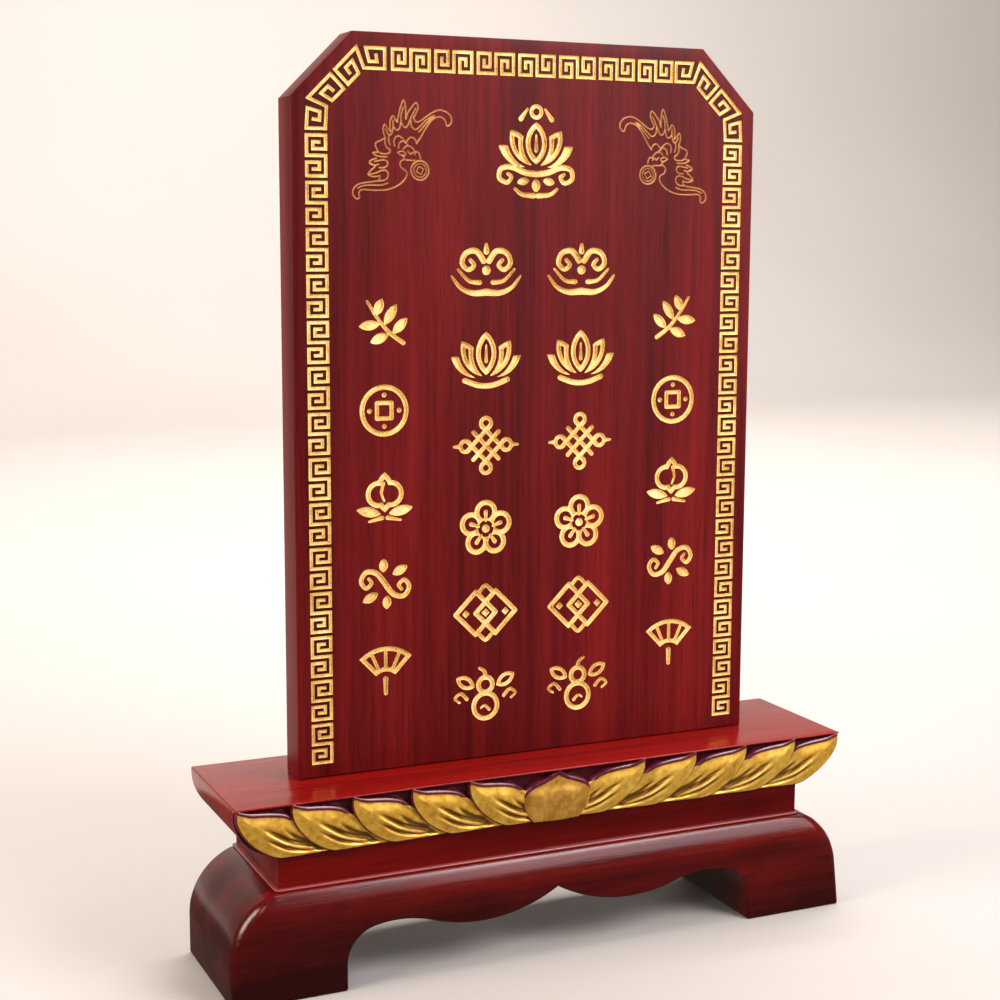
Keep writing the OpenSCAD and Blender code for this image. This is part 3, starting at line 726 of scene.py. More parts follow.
def stroke_loop(path, half, end):
    """Outline of a line of even width with mitred corners and square ends."""
    p = np.array(path, float)
    ahead, left = headings(np.diff(p, axis=0))
    p[0] -= ahead[0] * end
    p[-1] += ahead[-1] * end
    left = np.vstack([left[:1], left, left[-1:]])
    return np.vstack([mitred(p, left[:-1], left[1:], half), mitred(p, left[:-1], left[1:], -half)[::-1]])


def fret_loops(path):
    """Rim and floor outlines of one fret line."""
    half = FRET_LINE / 2
    return [stroke_loop(path, half - slope, half * FRET_END - slope) for slope in (0.0, FRET_SLOPE)]


def fret_key():
    """One key pair as a mesh of loose edges, centred on its run up the left border."""
    drawn = Carving()
    rim, floor = fret_loops([(n * FRET_STEP, (t - 3) * FRET_STEP) for t, n in FRET_PATH])
    drawn.loop(rim, 0.0)
    drawn.loop(floor, FRET_DEPTH)
    mesh = bpy.data.meshes.new("fret_key")
    mesh.from_pydata(metres((x, d, z) for (x, z), d in zip(drawn.points, drawn.depths)), drawn.edges, [])
    return mesh


def bent_key(outer, inner, flip):
    """One key pair bent over a corner."""
    o, i = np.array(outer, float), np.array(inner, float)
    path = []
    for t, n in FRET_PATH:
        along = (6 - t if flip else t) / 3
        k = min(int(along), 1)
        a = o[k] + (o[k + 1] - o[k]) * (along - k)
        b = i[k] + (i[k + 1] - i[k]) * (along - k)
        path.append(tuple(a + (b - a) * n / 3))
    return path


def add_fret(carving):
    """Rows of keys up the sides and along the top, with bent keys at the cut corners."""
    key = fret_key()
    top = PLANK_TOP + FRET_TOP
    for side in (-1, 1):
        first = (side * FRET_OUT, 0, PLANK_TOP + FRET_FIRST)
        carving.mesh(set_out(key, CARVED_GILT, FRET_ROWS, first, (0, 0, FRET_RISE), 0, (-side, 1, 1)))
    for count, x, flip in ((3, FRET_LEFT, 1), (4, FRET_RIGHT, -1)):
        carving.mesh(set_out(key, CARVED_GILT, count, (x, 0, top), (FRET_ACROSS, 0, 0), 90, (1, 1, flip)))
    for corner in FRET_CORNERS:
        for side in (1, -1):
            for points, depth in zip(fret_loops(bent_key(*corner)), (0.0, FRET_DEPTH)):
                carving.loop([(side * x, PLANK_TOP + z) for x, z in points], depth)


# Bats with coins
BAT_MIDDLE = (-67.0, 290.0)
BAT_HALF_W, BAT_HALF_H = 26, 24
# The left bat's cut lines, over the plank's top
BAT_LINES = [
    [(-61.3, 304.4), (-60.2, 302.9), (-58, 303.4), (-55, 305.5), (-52, 307.4), (-49, 308.5), (-46.3, 308.2),
     (-44, 307), (-42.7, 305), (-42.8, 303), (-44, 301.7), (-45.1, 301.7), (-45.5, 303.2), (-46.6, 304.8),
     (-48.5, 305.5), (-51, 304.9), (-53.3, 303), (-55.5, 300), (-57.5, 296.7), (-60, 293.2)],
    [(-62.7, 303.8), (-62.6, 301.4), (-61.5, 299.9), (-60, 299.6), (-58, 301.2), (-55, 304), (-52, 305.8)],
    [(-58.7, 298.5), (-56.4, 301), (-54, 303.5), (-51, 306)],
    [(-69.4, 302.5), (-68.7, 305.4), (-67.7, 309.4), (-66.2, 312.5), (-65.4, 310), (-65.1, 306.5),
     (-65.2, 304.1), (-64.3, 306.5), (-62.9, 308.6), (-60.2, 311.5), (-59.2, 309.5), (-60, 307),
     (-61.5, 304.5)],
    [(-66.3, 309.4), (-67.4, 306), (-67.4, 303), (-66.5, 300.9), (-65.3, 300.3), (-64.2, 301.3), (-63, 304),
     (-61.4, 307), (-60.3, 309)],
    [(-72.6, 298.4), (-72.9, 301.2), (-72.6, 303.6), (-71.4, 305.3), (-70.2, 303.7), (-69.4, 302.5)],
    [(-71.3, 303.4), (-71.3, 300.9), (-70.2, 299.3), (-69, 299.1), (-68, 300.4), (-67.6, 303)],
    [(-75.2, 295.6), (-75.9, 297.4), (-76.2, 299.6), (-75.4, 301.4), (-74, 299.7), (-72.6, 298.4)],
    [(-75, 299.3), (-73.8, 297.3), (-72.4, 297), (-71.5, 299), (-71.4, 301)],
    [(-75.2, 295.6), (-77, 294.4), (-79.5, 293.3), (-80, 292), (-79.4, 290.5), (-78.6, 289)],
    [(-75.1, 295.6), (-75.4, 293.4), (-74.6, 291.3), (-73.2, 290.4), (-72.9, 289.2), (-73.9, 288.4)],
    [(-73.4, 296.6), (-73.5, 294), (-72.8, 292.3)],
    [(-70.7, 292), (-71, 294.2), (-70, 296), (-68.4, 296.4), (-66.5, 295.1), (-65, 293.3), (-63.5, 291.9)],
    [(-68.9, 291), (-68.3, 293.2), (-66.6, 294.2), (-65, 293.2)],
    [(-66.4, 290.6), (-65, 292), (-63.2, 292), (-61.6, 290.9), (-60.6, 289.5), (-59.2, 289.4), (-58.4, 288),
     (-58.1, 286.6)],
    [(-65.2, 293.6), (-63.4, 295.7), (-61.6, 295.8), (-60.4, 294.6), (-60, 293.2)],
    [(-69.1, 289), (-67.3, 289.7), (-65.4, 288.9), (-66, 287.6), (-67.8, 288), (-69.1, 289)],
    [(-64.2, 289.6), (-62.8, 288.4), (-61.8, 289.2), (-60.6, 288.2)],
    [(-66.4, 288), (-66.2, 286.6), (-65.2, 285.8), (-63, 285.7), (-60.8, 285.6)],
    [(-66, 286), (-67.6, 285.2), (-68, 283.6), (-67.1, 281.9), (-65.3, 280.9), (-64.7, 279.6), (-65.3, 277.8),
     (-67, 275.8), (-70, 273.8), (-74, 272.4), (-78, 272), (-82, 272), (-86, 272.2), (-87.7, 271.5),
     (-88, 270), (-87.9, 268.5), (-89.1, 268.1), (-90.5, 269.1), (-91, 271), (-90.3, 273), (-88.5, 274.4),
     (-86, 275.2), (-82, 275.7), (-79, 276.2), (-78, 277.1), (-77.9, 278.6)],
    [(-88.6, 272.8), (-86, 273.9), (-82, 274.3), (-77.4, 274.3), (-74, 275.3)],
    [(-78.6, 276.2), (-75.7, 276.5), (-74, 278), (-74.1, 280), (-75.5, 281), (-77.5, 280.7), (-80, 279.6),
     (-83.5, 279)],
    [(-78.2, 278.4), (-81, 278), (-83.5, 279), (-82, 281), (-80.2, 282.8), (-83, 284.3)],
    [(-78.2, 282.1), (-76, 282.1), (-74.4, 283), (-74.2, 284.7), (-75.8, 285.6), (-78, 285.3),
     (-80.5, 284.8)],
    [(-78.4, 283.6), (-81, 283.2), (-83, 284.3), (-81.5, 285.6), (-79.6, 286.2)],
    [(-78.6, 289), (-81.2, 288.6), (-79.4, 287.4), (-77, 287), (-74.4, 287)],
    [(-78.6, 289), (-76.5, 288.3), (-73.9, 288.4)],
]
BAT_COIN, COIN_CLEAR = (-58.3, 281.2), 5.0
# The coin's rings, each with its radius and width, and its square hole's half side, line and turn
COIN_RINGS, COIN_HOLE = [(4.35, 0.9), (3.05, 0.6)], (1.35, 0.66, -25)
BAT_LINE, BAT_SLOPE, BAT_DEPTH, BAT_PITCH, BAT_SLACK = 0.74, 0.19, 0.4, 0.2, 0.03
# How far the right bat stands out from the left one's mirror place
BAT_RIGHT = 2.3
# Room round a bat's drawing that still counts as the bat
BAT_ROOM_W, BAT_ROOM_H = 2, 1


def bat_with_coin():
    """The bat and its coin, drawn about its middle."""
    cx, cz = BAT_MIDDLE
    f = Field(BAT_HALF_W, BAT_HALF_H, BAT_PITCH)
    for points in BAT_LINES:
        f.add(f.line([(x - cx, z - cz) for x, z in points], BAT_LINE))
    x, z = BAT_COIN[0] - cx, BAT_COIN[1] - cz
    f.cut(f.disc(x, z, COIN_CLEAR))
    f.add(*(f.ring(x, z, *ring) for ring in COIN_RINGS), f.frame(x, z, COIN_HOLE[0], *COIN_HOLE))
    return traced(f, 0.0, BAT_SLACK), traced(f, -BAT_SLOPE, BAT_SLACK)


# Carved ornaments
def blossom():
    f = Field(20, 17)
    outline = f.disc(0, 0, 6.5)
    for turn in range(90, 450, 72):
        outline = np.minimum(outline, f.disc(*polar(8.0, turn), 5.9))
        f.add(f.line([polar(3.9, turn), polar(8.0, turn)], 1.3, 2.2))
    return f.add(f.hem(outline, 2.5), f.disc(0, 0, 2.0))


def cloud():
    f = Field(23, 17)
    curl = [(1.4, 5.0), (5.2, 9.6), (10.5, 8.6), (12.4, 4.0), (9.2, 0.9), (6.3, 3.0), (8.2, 5.4)]
    f.add(f.both(curl, 2.9, 1.9), f.both([(0, -9.5), (7, -9.9), (13.2, -7.4), (17.5, -2.2)], 3.4, 1.2))
    f.add(f.both([(3.4, -5.0), (9, -4.2), (14.4, 1.0)], 2.4, 1.2))
    return f.add(f.line([(0, 12.6), (0, 9.4)], 1.6, 3.0), f.disc(0, 0.6, 2.2))


def knot():
    f = Field(20, 18)
    for turn in (45, -45):
        c, k = polar(1, turn)
        for off, run in ((-5.2, 8.2), (0.0, 9.2), (5.2, 8.2)):
            f.add(f.line([(t * c - off * k, t * k + off * c) for t in (-run, run)], 2.1))
    for s in (-1, 1):
        f.add(f.ring(s * 10.6, 0, 2.6, 2.0), f.ring(0, s * 10.6, 2.6, 2.0))
    return f.add(f.both([(13.4, 0), (16.6, 0)], 2.2, 1.2))


def lotus_flower(f, middle, side, low):
    """A middle, two side and two low petals, each given by its foot, its tip and its width."""
    front = f.petal(*middle)
    f.add(f.hem(front, 2.4))
    for s in (-1, 1):
        behind, last = (f.petal((s * a, b), (s * c, d), width) for (a, b), (c, d), width in (side, low))
        f.add(f.hem(np.maximum(behind, 1.5 - front), 2.3), f.hem(np.maximum(last, 1.5 - behind), 2.3))


def lotus():
    f = Field(23, 17)
    lotus_flower(f, ((0, -7.5), (0, 13.0), 10.5), ((2.2, -8.0), (12.6, 8.6), 8.6),
                 ((3.4, -8.6), (18.0, 1.4), 6.6))
    return f.add(f.line([(0, -1), (0, 6.5)], 1.8, 0.9),
                 f.line([(-11, -9.8), (-5, -12.0), (0, -12.6), (5, -12.0), (11, -9.8)], 2.6))


def lozenges():
    f = Field(22, 17)
    for s in (-1, 1):
        f.add(f.frame(s * 5.2, 0, 7.4, 7.4, 2.3, 45), f.box(s * 10.4, 0, 1.4, 1.4, 45))
        f.add(f.line([(-3.2, s * 10.6), (0, s * 13.4), (3.2, s * 10.6)], 2.0))
    return f.add(f.box(0, 0, 1.5, 1.5, 45))


def gourd():
    f = Field(20, 18)
    shape = np.minimum(f.disc(0, -5.6, 7.4), f.disc(0, 4.9, 4.9))
    f.add(f.hem(shape, 2.4), f.line([(-2.0, -7.6), (0.4, -5.4), (2.4, -6.6)], 1.7, 1.0))
    for s in (-1, 1):
        f.add(f.hem(f.petal((s * 5.8, 4.0), (s * 15.4, 9.4), 6.4), 1.9))
    return f.add(f.line([(0, 9.2), (0.6, 11.6), (3.2, 13.4)], 2.2, 1.4),
                 f.both([(9.8, -1.4), (13.0, 1.6), (16.0, -0.6), (13.6, -2.8)], 1.9, 1.2))


def leaf_spray():
    f = Field(18, 15)
    f.add(f.line([(-9.6, -9.4), (-3.0, -4.8), (3.0, 2.0), (8.0, 9.8)], 2.2, 1.3))
    for a, b in (((-4.4, -5.0), (-11.6, 2.0)), ((-0.2, -1.0), (-6.4, 8.4)), ((-2.4, -5.4), (6.6, -9.0)),
                 ((1.8, -0.6), (12.2, -1.6)), ((4.2, 3.2), (0.6, 11.0))):
        f.add(f.petal(a, b, 4.6))
    return f


def coin():
    f = Field(15, 15)
    return f.add(f.ring(0, 0, 10.9, 2.3), f.frame(0, 0, 3.6, 3.6, 2.0),
                 *(f.disc(*polar(7.3, turn), 1.15) for turn in range(0, 360, 90)))


def peach():
    f = Field(18, 15)
    shape = np.minimum(f.disc(-3.0, 1.6, 6.4), f.disc(3.0, 1.6, 6.4))
    shape = np.minimum(shape, f.petal((0, 11.8), (0, -7.0), 9.6))
    f.add(f.hem(shape, 2.3), f.line([(0.6, 6.6), (1.6, 2.0), (0.2, -1.8)], 1.7, 1.0))
    return f.add(f.leaves((2.0, -7.8), (14.0, -5.2), 4.8), f.both([(1.4, -9.6), (7.8, -11.0)], 2.2, 1.2))


def fan():
    f = Field(16, 15)
    leaf = np.maximum(f.disc(0, -8.0, 19.0), -f.disc(0, -8.0, 7.0))
    f.add(f.hem(np.maximum(leaf, np.abs(f.x) * 0.72 - (f.z + 8.0) * 0.69), 2.1))
    for a in (-24, 0, 24):
        c, s = polar(1, a)
        f.add(f.line([(r * s, -8.0 + r * c) for r in (8.4, 16.8)], 1.7))
    return f.add(f.line([(0, -4.6), (0, -11.6)], 2.6, 2.0))


def scroll():
    f = Field(18, 15)
    curl = np.array([(0, 0), (4.2, 5.2), (9.4, 6.2), (12.0, 2.0), (9.6, -1.4), (6.8, 0.8), (8.2, 3.0)])
    for s in (-1, 1):
        f.add(f.line(s * curl, 2.8, 1.6), f.petal((s * 1.0, s * 5.6), (s * 0.6, s * 12.0), 4.4))
        f.add(f.petal((-s * 3.6, s * 4.2), (-s * 11.2, s * 8.0), 4.4))
    return f


def crest():
    """The large mark at the top: a lotus on cloud scrolls under a pearl."""
    f = Field(25, 26)
    lotus_flower(f, ((0, -6.0), (0, 13.5), 11.0), ((2.4, -6.6), (13.2, 9.6), 9.0),
                 ((4.0, -7.2), (19.4, 2.4), 7.0))
    curl = [(0, -10.6), (6, -9.8), (13, -7.4), (18.2, -8.4), (19.0, -12.6), (15.0, -14.6), (12.8, -12.0),
            (14.6, -10.6)]
    f.add(f.line([(0, 0.4), (0, 7.4)], 2.0, 0.9), f.both(curl, 3.0, 1.7))
    f.add(f.both([(1.2, -20.6), (7.4, -20.0), (11.0, -17.4)], 2.6, 1.5))
    f.add(f.both([(8.0, 14.8), (4.6, 19.4)], 2.4, 1.2))
    return f.add(f.leaves((3.6, -13.4), (9.8, -14.6), 3.6), f.ring(0, 18.2, 2.6, 1.9),
                 f.petal((0, -12.8), (0, -19.0), 4.4))


ORNAMENT_DEPTH, ORNAMENT_SLOPE = 1.15, 0.5
# The columns of marks: distance from the middle, heights over the plank and drawings
COLUMNS = [(25.0, [235.0, 194.0, 153.0, 113.0, 72.0, 31.5], [cloud, lotus, knot, blossom, lozenges, gourd]),
           (76.5, [212.0, 171.5, 131.0, 90.0, 49.0], [leaf_spray, coin, peach, scroll, fan])]
CREST_PLACE = (0.5, 291.0)


def add_ornaments(carving):
    """Gilt marks in two inner and two outer columns, with one large mark and two bats above."""
    def cut(drawing):
        f = drawing()
        return traced(f, 0.0), traced(f, -ORNAMENT_SLOPE)

    for x, places, drawings in COLUMNS:
        for h, drawing in zip(places, drawings):
            marks = cut(drawing)
            for side in (-1, 1):
                carving.mark(*marks, ORNAMENT_DEPTH, side * x, PLANK_TOP + h, side < 0)
    carving.mark(*cut(crest), ORNAMENT_DEPTH, CREST_PLACE[0], PLANK_TOP + CREST_PLACE[1])
    bat = bat_with_coin()
    for side in (1, -1):
        x = side * BAT_MIDDLE[0] + (BAT_RIGHT if side < 0 else 0.0)
        carving.mark(*bat, BAT_DEPTH, x, PLANK_TOP + BAT_MIDDLE[1], side < 0)


def in_bat(x, z):
    """Whether a point of the board's face is at one of the bats."""
    across, up = abs(x) - abs(BAT_MIDDLE[0]), z - PLANK_TOP - BAT_MIDDLE[1]
    return abs(across) < BAT_HALF_W + BAT_ROOM_W and abs(up) < BAT_HALF_H + BAT_ROOM_H


# The board
BOARD_ROUND = 0.8


def sides(face):
    """A face's edges, each as a sorted pair of points."""
    return [tuple(sorted(pair)) for pair in zip(face, (*face[1:], face[0]))]


def carved_face(outer, carving, face):
    """The board's front: flat between the marks, with sloping walls and a floor inside them."""
    n = len(outer)
    points = [(float(x), float(z)) for x, z in outer] + carving.points
    depths = [0.0] * n + carving.depths
    edges = [(i, (i + 1) % n) for i in range(n)] + [(a + n, b + n) for a, b in carving.edges]
    rim = [False] * n + [carving.depths[a] == 0.0 for a, b in carving.edges]
    verts, out_edges, tris, from_vert, from_edge, _ = delaunay_2d_cdt(
        [Vector(p) for p in points], edges, [], 1, 1e-5)
    walls = {tuple(sorted(e)) for e, came in zip(out_edges, from_edge) if any(rim[k] for k in came)}
    outline = {tuple(sorted(e)) for e, came in zip(out_edges, from_edge) if any(k < n for k in came)}
    beside = {}
    for t, tri in enumerate(tris):
        for e in sides(tri):
            beside.setdefault(e, []).append(t)
    gilt = [None] * len(tris)
    todo = [beside[e][0] for e in outline if e in beside][:1]
    gilt[todo[0]] = 0
    while todo:
        t = todo.pop()
        for e in sides(tris[t]):
            for other in beside[e]:
                if gilt[other] is None:
                    gilt[other] = 1 - gilt[t] if e in walls else gilt[t]
                    todo.append(other)
    depth = [max((depths[k] for k in came), default=0.0) for came in from_vert]
    front = [(v.x, face + d, v.y) for v, d in zip(verts, depth)]
    return front, [tuple(t) for t in tris], [g or 0 for g in gilt]


def board_loop():
    """The board's outline over the plank, with its two cut corners."""
    half, top = BOARD_HIGH.x, BOARD_HIGH.z
    low = PLANK_TOP + SEAT_GAP
    corners = [(half, top - CORNER_CUT), (half - CORNER_CUT, top)]
    return [(-half, low), (half, low), *corners, *mirrored(corners)]


def tenon_blocks(play, low, high):
    """Blocks the size of the two stub tenons, with some play round them."""
    w, t = TENON_HALF_W + play, TENON_HALF_T + play
    return [block((x - w, BOARD_MID - t, low), (x + w, BOARD_MID + t, high)) for x in TENON_PLACES]


def tablet_board():
    """The carved board with its tenons, in three finishes."""
    carving = Carving()
    add_fret(carving)
    add_ornaments(carving)
    loop, face, back = board_loop(), BOARD_LOW.y, BOARD_HIGH.y
    edge = inset(loop, BOARD_ROUND)
    front_verts, front_faces, gilt = carved_face(edge, carving, face)
    plain = joined(slab(loop, face, back, BOARD_ROUND, BOARD_ROUND), sawn_face(edge, lambda z: back))
    tenons = tenon_blocks(0, BOARD_LOW.z, PLANK_TOP + TENON_ROOT)
    verts, faces = joined(plain, (front_verts, front_faces), *tenons)
    which = [0] * len(faces)
    for k, (tri, gold) in enumerate(zip(front_faces, gilt), len(plain[1])):
        x, _, z = np.mean([front_verts[i] for i in tri], axis=0)
        which[k] = 2 if gold and in_bat(x, z) else gold
    finished(plain_mesh("carved_tablet", verts, faces, which), [BOARD_RED, CARVED_GILT, THIN_GILT], "tablet",
             ["tablet_board"], 30)


# The bead round the waist's foot
BEAD_H, BEAD_W, BEAD_ROUND, BEAD_EASE = 1.3, 2.0, 0.65, 0.25

# The top plank and its lotus strip
PLANK_T = PLANK_HIGH.z - PLANK_LOW.z
# The ends curve in to the waist's face and the strip's face a little, from just below the plank's top
CURVE_START = 1.5
END_TUCK = PLANK_HIGH.x - WAIST_HIGH.x + BEAD_W
END_DROP = PLANK_T - CURVE_START
FACE_TUCK = 6.5
EDGE_ROUND = 0.8


def tuck_at(drop, tuck, height):
    """How far a rounding has drawn in at a drop below where it starts."""
    r = (tuck ** 2 + height ** 2) / (2 * tuck)
    return r - math.sqrt(max(r * r - max(drop, 0.0) ** 2, 0.0))


def plank_reach(h):
    """Half the plank's length at a height below its top, given as a negative number."""
    reach = PLANK_HIGH.x - tuck_at(-h - CURVE_START, END_TUCK, END_DROP)
    if h > -EDGE_ROUND:
        reach -= EDGE_ROUND - math.sqrt(EDGE_ROUND ** 2 - (EDGE_ROUND + h) ** 2)
    return reach


def rounded_top(r):
    """Heights down a rounded upper edge."""
    return [-r * (1 - math.sin(a)) for a in np.linspace(math.pi / 2, 0, 7)]


def top_plank():
    """The plank behind the lotus strip, with its two mortises cut."""
    drops = rounded_top(EDGE_ROUND) + list(np.linspace(-EDGE_ROUND, -PLANK_T, 23)[1:])
    right = [(plank_reach(h), PLANK_TOP + h) for h in drops][::-1]
    plank = closed_slab(right + mirrored(right), STRIP_HIGH.y, PLANK_HIGH.y, 0, 0.75 * EDGE_ROUND)
    mortises = tenon_blocks(MORTISE_PLAY, PLANK_TOP - MORTISE_DEPTH, PLANK_TOP + MORTISE_OVER)
    mesh = cut_by(plain_mesh("plank", *plank), plain_mesh("mortises", *joined(*mortises)))
    mesh.name = "plank_top"
    finished(mesh, [BASE_RED], "base", ["top_plank"])


RELIEF = 4.2
LIP, LIP_ROUND, LIP_BACK = 0.8, 0.5, 0.4
LEAST_GROUND = 0.5


def ground_depth(h):
    """Depth of the strip's ground behind its front plane: a lip, a cove and a bulging face."""
    cove = -LIP - RELIEF
    if h > -LIP_ROUND:
        return LIP_BACK + LIP_ROUND - math.sqrt(max(LIP_ROUND ** 2 - (h + LIP_ROUND) ** 2, 0.0))
    if h > -LIP:
        return LIP_BACK
    if h > cove:
        return max(LIP_BACK, math.sqrt(max(RELIEF ** 2 - (h - cove) ** 2, 0.0)))
    return RELIEF + tuck_at(-h - CURVE_START, FACE_TUCK, END_DROP)


def lotus_ground():
    """The strip behind the petals, in slices from its top down."""
    hs = rounded_top(LIP_ROUND) + [-LIP]
    hs += [-LIP - RELIEF + RELIEF * math.cos(a) for a in np.linspace(0, math.pi / 2, 13)[1:]]
    hs += list(np.linspace(-LIP - RELIEF, -PLANK_T, 16)[1:])
    front, back = STRIP_LOW.y, STRIP_HIGH.y
    verts = []
    for h in hs:
        x, z = plank_reach(h), PLANK_TOP + h
        y = min(front + ground_depth(h), back - LEAST_GROUND)
        verts += [(-x, y, z), (x, y, z), (x, back, z), (-x, back, z)]
    last = 4 * len(hs) - 4
    faces = ring_faces(len(hs), 4) + [(0, 1, 2, 3), (last, last + 1, last + 2, last + 3)]
    # The front faces from the lip down take the dark copy, as painted shade in the recess
    which = [int(side == 0 and h <= -LIP) for h in hs[:-1] for side in range(4)] + [0, 0]
    finished(plain_mesh("lotus_ground", verts, faces, which), [BASE_RED, COVE_SHADED_RED], "base")


# A leaning petal's edges from root to tip, about its tip on the strip's top edge
PETAL_BACK = [(-52, -26.4), (-47.5, -22.6), (-42.5, -18.6), (-37.5, -14.8), (-33, -11.6), (-29.6, -9.2),
              (-27.0, -7.0), (-24.6, -5.3), (-22, -4.3), (-18, -3.4), (-12, -2.6), (-7, -2.1), (-3.4, -1.3),
              (-1.2, -0.5), (0.2, 0.0)]
PETAL_BELLY = [(-52, -26.4), (-44, -26.4), (-36, -26.4), (-26, -26.4), (-20, -25.9), (-14.5, -23.5),
               (-8.6, -19.4), (-3.8, -14.2), (-0.6, -8.8), (0.5, -4.4), (0.2, 0.0)]
# Veins from root to tip, each with its depth and its ridge
PETAL_VEINS = [([(-40, -21.4), (-32, -18.8), (-26, -15.0), (-20.5, -10.6)], 1.4, 0.55),
               ([(-43, -23.6), (-33, -21.0), (-24, -17.0), (-16, -12.4), (-9.5, -8.8)], 2.0, 0.55),
               ([(-46, -25.2), (-34, -23.8), (-24, -21.0), (-15.5, -16.6), (-8.0, -12.0)], 1.5, 0.22)]
VEIN_HALF, VEIN_RIDGE = 1.0, 1.95
PETAL_LEAN = math.tan(math.radians(3.9))
PETAL_RIM, PETAL_TUCK, PETAL_SET = 2.3, 2.0, 0.15
# How far the petals' own backs lie before the strip's
PETAL_SHORT = 1.0
# A leaning petal's edges are rounded, and less so by EDGE_LESS at the tip and again along the foot
PETAL_EDGE, EDGE_LESS, TIP_REACH, FOOT_REACH = 1.5, 0.7, (-9.0, -0.5), (21, 25)
# The step down from the rim to the face, and the face's bulge with its distances from the edge
RIM_STEP, PETAL_BULGE, BULGE_REACH = 0.35, 0.9, (1.0, 8.0)
PETAL_ROWS, BUD_ROWS, PETAL_COLUMNS = 92, 64, 52


def ease(value, low, high):
    """0 at low, 1 at high and smooth between."""
    t = min(max((value - low) / (high - low), 0.0), 1.0)
    return t * t * (3 - 2 * t)


def rolled(edge, r):
    """Fall of a rounded edge at a distance from it."""
    return r - math.sqrt(max(r * r - max(r - edge, 0.0) ** 2, 0.0)) if r > 0 else 0.0


def distance_to(line, x, h):
    """Distance of a point from a line of points."""
    a, b = line[:-1], line[1:] - line[:-1]
    p = np.array((x, h)) - a
    t = np.clip((p * b).sum(1) / np.maximum((b * b).sum(1), 1e-9), 0, 1)
    return float(np.hypot(*(p - t[:, None] * b).T).min())


def petal_shell(left, right, fall, gilt, vein, name):
    """A closed petal from its two edges: fall gives its depth, gilt its paint and vein its grooves."""
    front, back = STRIP_LOW.y, STRIP_HIGH.y - PETAL_SHORT
    rows, cols = len(left), PETAL_COLUMNS
    verts, paint, groove, faces = [], [], [], []
    for start, end in zip(left, right):
        for v in np.arange(cols + 1) / cols:
            x, h = start * (1 - v) + end * v
            near, far = distance_to(left, x, h), distance_to(right, x, h)
            cut = vein(x, h, near, far)
            verts.append((x, front + fall(x, h, near, far) + cut, PLANK_TOP + h))
            paint.append(gilt(x, h, near, far))
            groove.append(cut)
    grid = np.arange(len(verts)).reshape(rows, cols + 1).tolist()
    for low, high in zip(grid, grid[1:]):
        faces += [(low[j], high[j], high[j + 1], low[j + 1]) for j in range(cols)]
    # The rim runs up the left edge, along the tip, down the right edge and back along the root
    rim = [row[0] for row in grid] + grid[-1][1:-1] + [row[-1] for row in grid[::-1]] + grid[0][-2:0:-1]
    first, m = len(verts), len(rim)
    verts += [(verts[k][0], back, verts[k][2]) for k in rim]
    faces += [(rim[k], first + k, first + (k + 1) % m, rim[(k + 1) % m]) for k in range(m)]
    faces.append(tuple(range(first, first + m)))
    mesh = bpy.data.meshes.new(name)
    mesh.from_pydata(metres(verts), [], faces)
    for attribute, values in (("gilt", paint), ("vein", groove)):
        mesh.attributes.new(attribute, "FLOAT", "POINT").data.foreach_set("value", values + [0.0] * m)
    tidy_mesh(mesh)
    return mesh


def leaning_petal():
    """A petal that leans over its neighbour, with its tip in the middle of its own drawing."""
    left, right = even_line(PETAL_BACK, PETAL_ROWS), even_line(PETAL_BELLY, PETAL_ROWS)

    def fall(x, h, near, far):
        """A face that bulges and leans, with a rolled red rim above and a rounded edge below."""
        r = PETAL_EDGE - EDGE_LESS * ease(x, *TIP_REACH)
        depth = PETAL_SET + tuck_at(-h - CURVE_START, PETAL_TUCK, END_DROP) - x * PETAL_LEAN
        depth += rolled(near, r) + rolled(far, r - EDGE_LESS * ease(-h, *FOOT_REACH))
        depth += RIM_STEP * ease(near, PETAL_RIM - 0.6, PETAL_RIM + 0.2)
        return depth - PETAL_BULGE * ease(min(near, far), *BULGE_REACH)

    lines = [(smooth_line(points), deep, ridge) for points, deep, ridge in PETAL_VEINS]

    def vein(x, h, near, far):
        depth = 0.0
        for line, deep, ridge in lines:
            below = 0.88 * (np.interp(x, line[:, 0], line[:, 1]) - h)
            along = (x - line[0, 0]) / (line[-1, 0] - line[0, 0])
            show = deep * ease(along, 0.0, 0.2) * (1 - ease(along, 0.55, 1.0)) * ease(far, 0.6, 2.2)
            depth += show * (math.exp(-(below / VEIN_HALF) ** 2)
                             - ridge * math.exp(-((below - VEIN_RIDGE) / VEIN_HALF) ** 2))
        return depth

    def gilt(x, h, near, far):
        rim = PETAL_RIM - 0.5 * ease(x, -8.0, -2.0) - 2.0 * ease(-x, 24.0, 30.0)
        return ease(near, rim - 0.5, rim + 0.5) * ease(far, 0.3, 1.0)

    return petal_shell(left, right, fall, gilt, vein, "leaning_petal")


# The middle bud's right edge from root to tip
BUD_SIDE = [(12.8, -26.0), (15.8, -22.6), (17.5, -18.4), (18.1, -14.0), (17.3, -10.2), (14.7, -7.4),
            (10.6, -5.6), (6.6, -4.2), (3.4, -2.8), (1.4, -1.4), (0.5, -0.5), (0.0, -0.1)]
# Its face below the tip lies back by BUD_SET, and bulges between two distances from the edge
BUD_SET, BUD_EDGE, BUD_RIM_STEP, BUD_BULGE, BUD_REACH = 1.4, 1.4, 0.3, 1.1, (1.0, 12.0)
# Its fine veins: depth, closeness, sway and the sway's closeness, and how they fan out about a height
BUD_VEIN, BUD_CLOSE, BUD_SWAY, BUD_WAVE, BUD_FAN, BUD_FAN_H = 0.15, 2.2, 0.9, 0.6, 0.03, 18


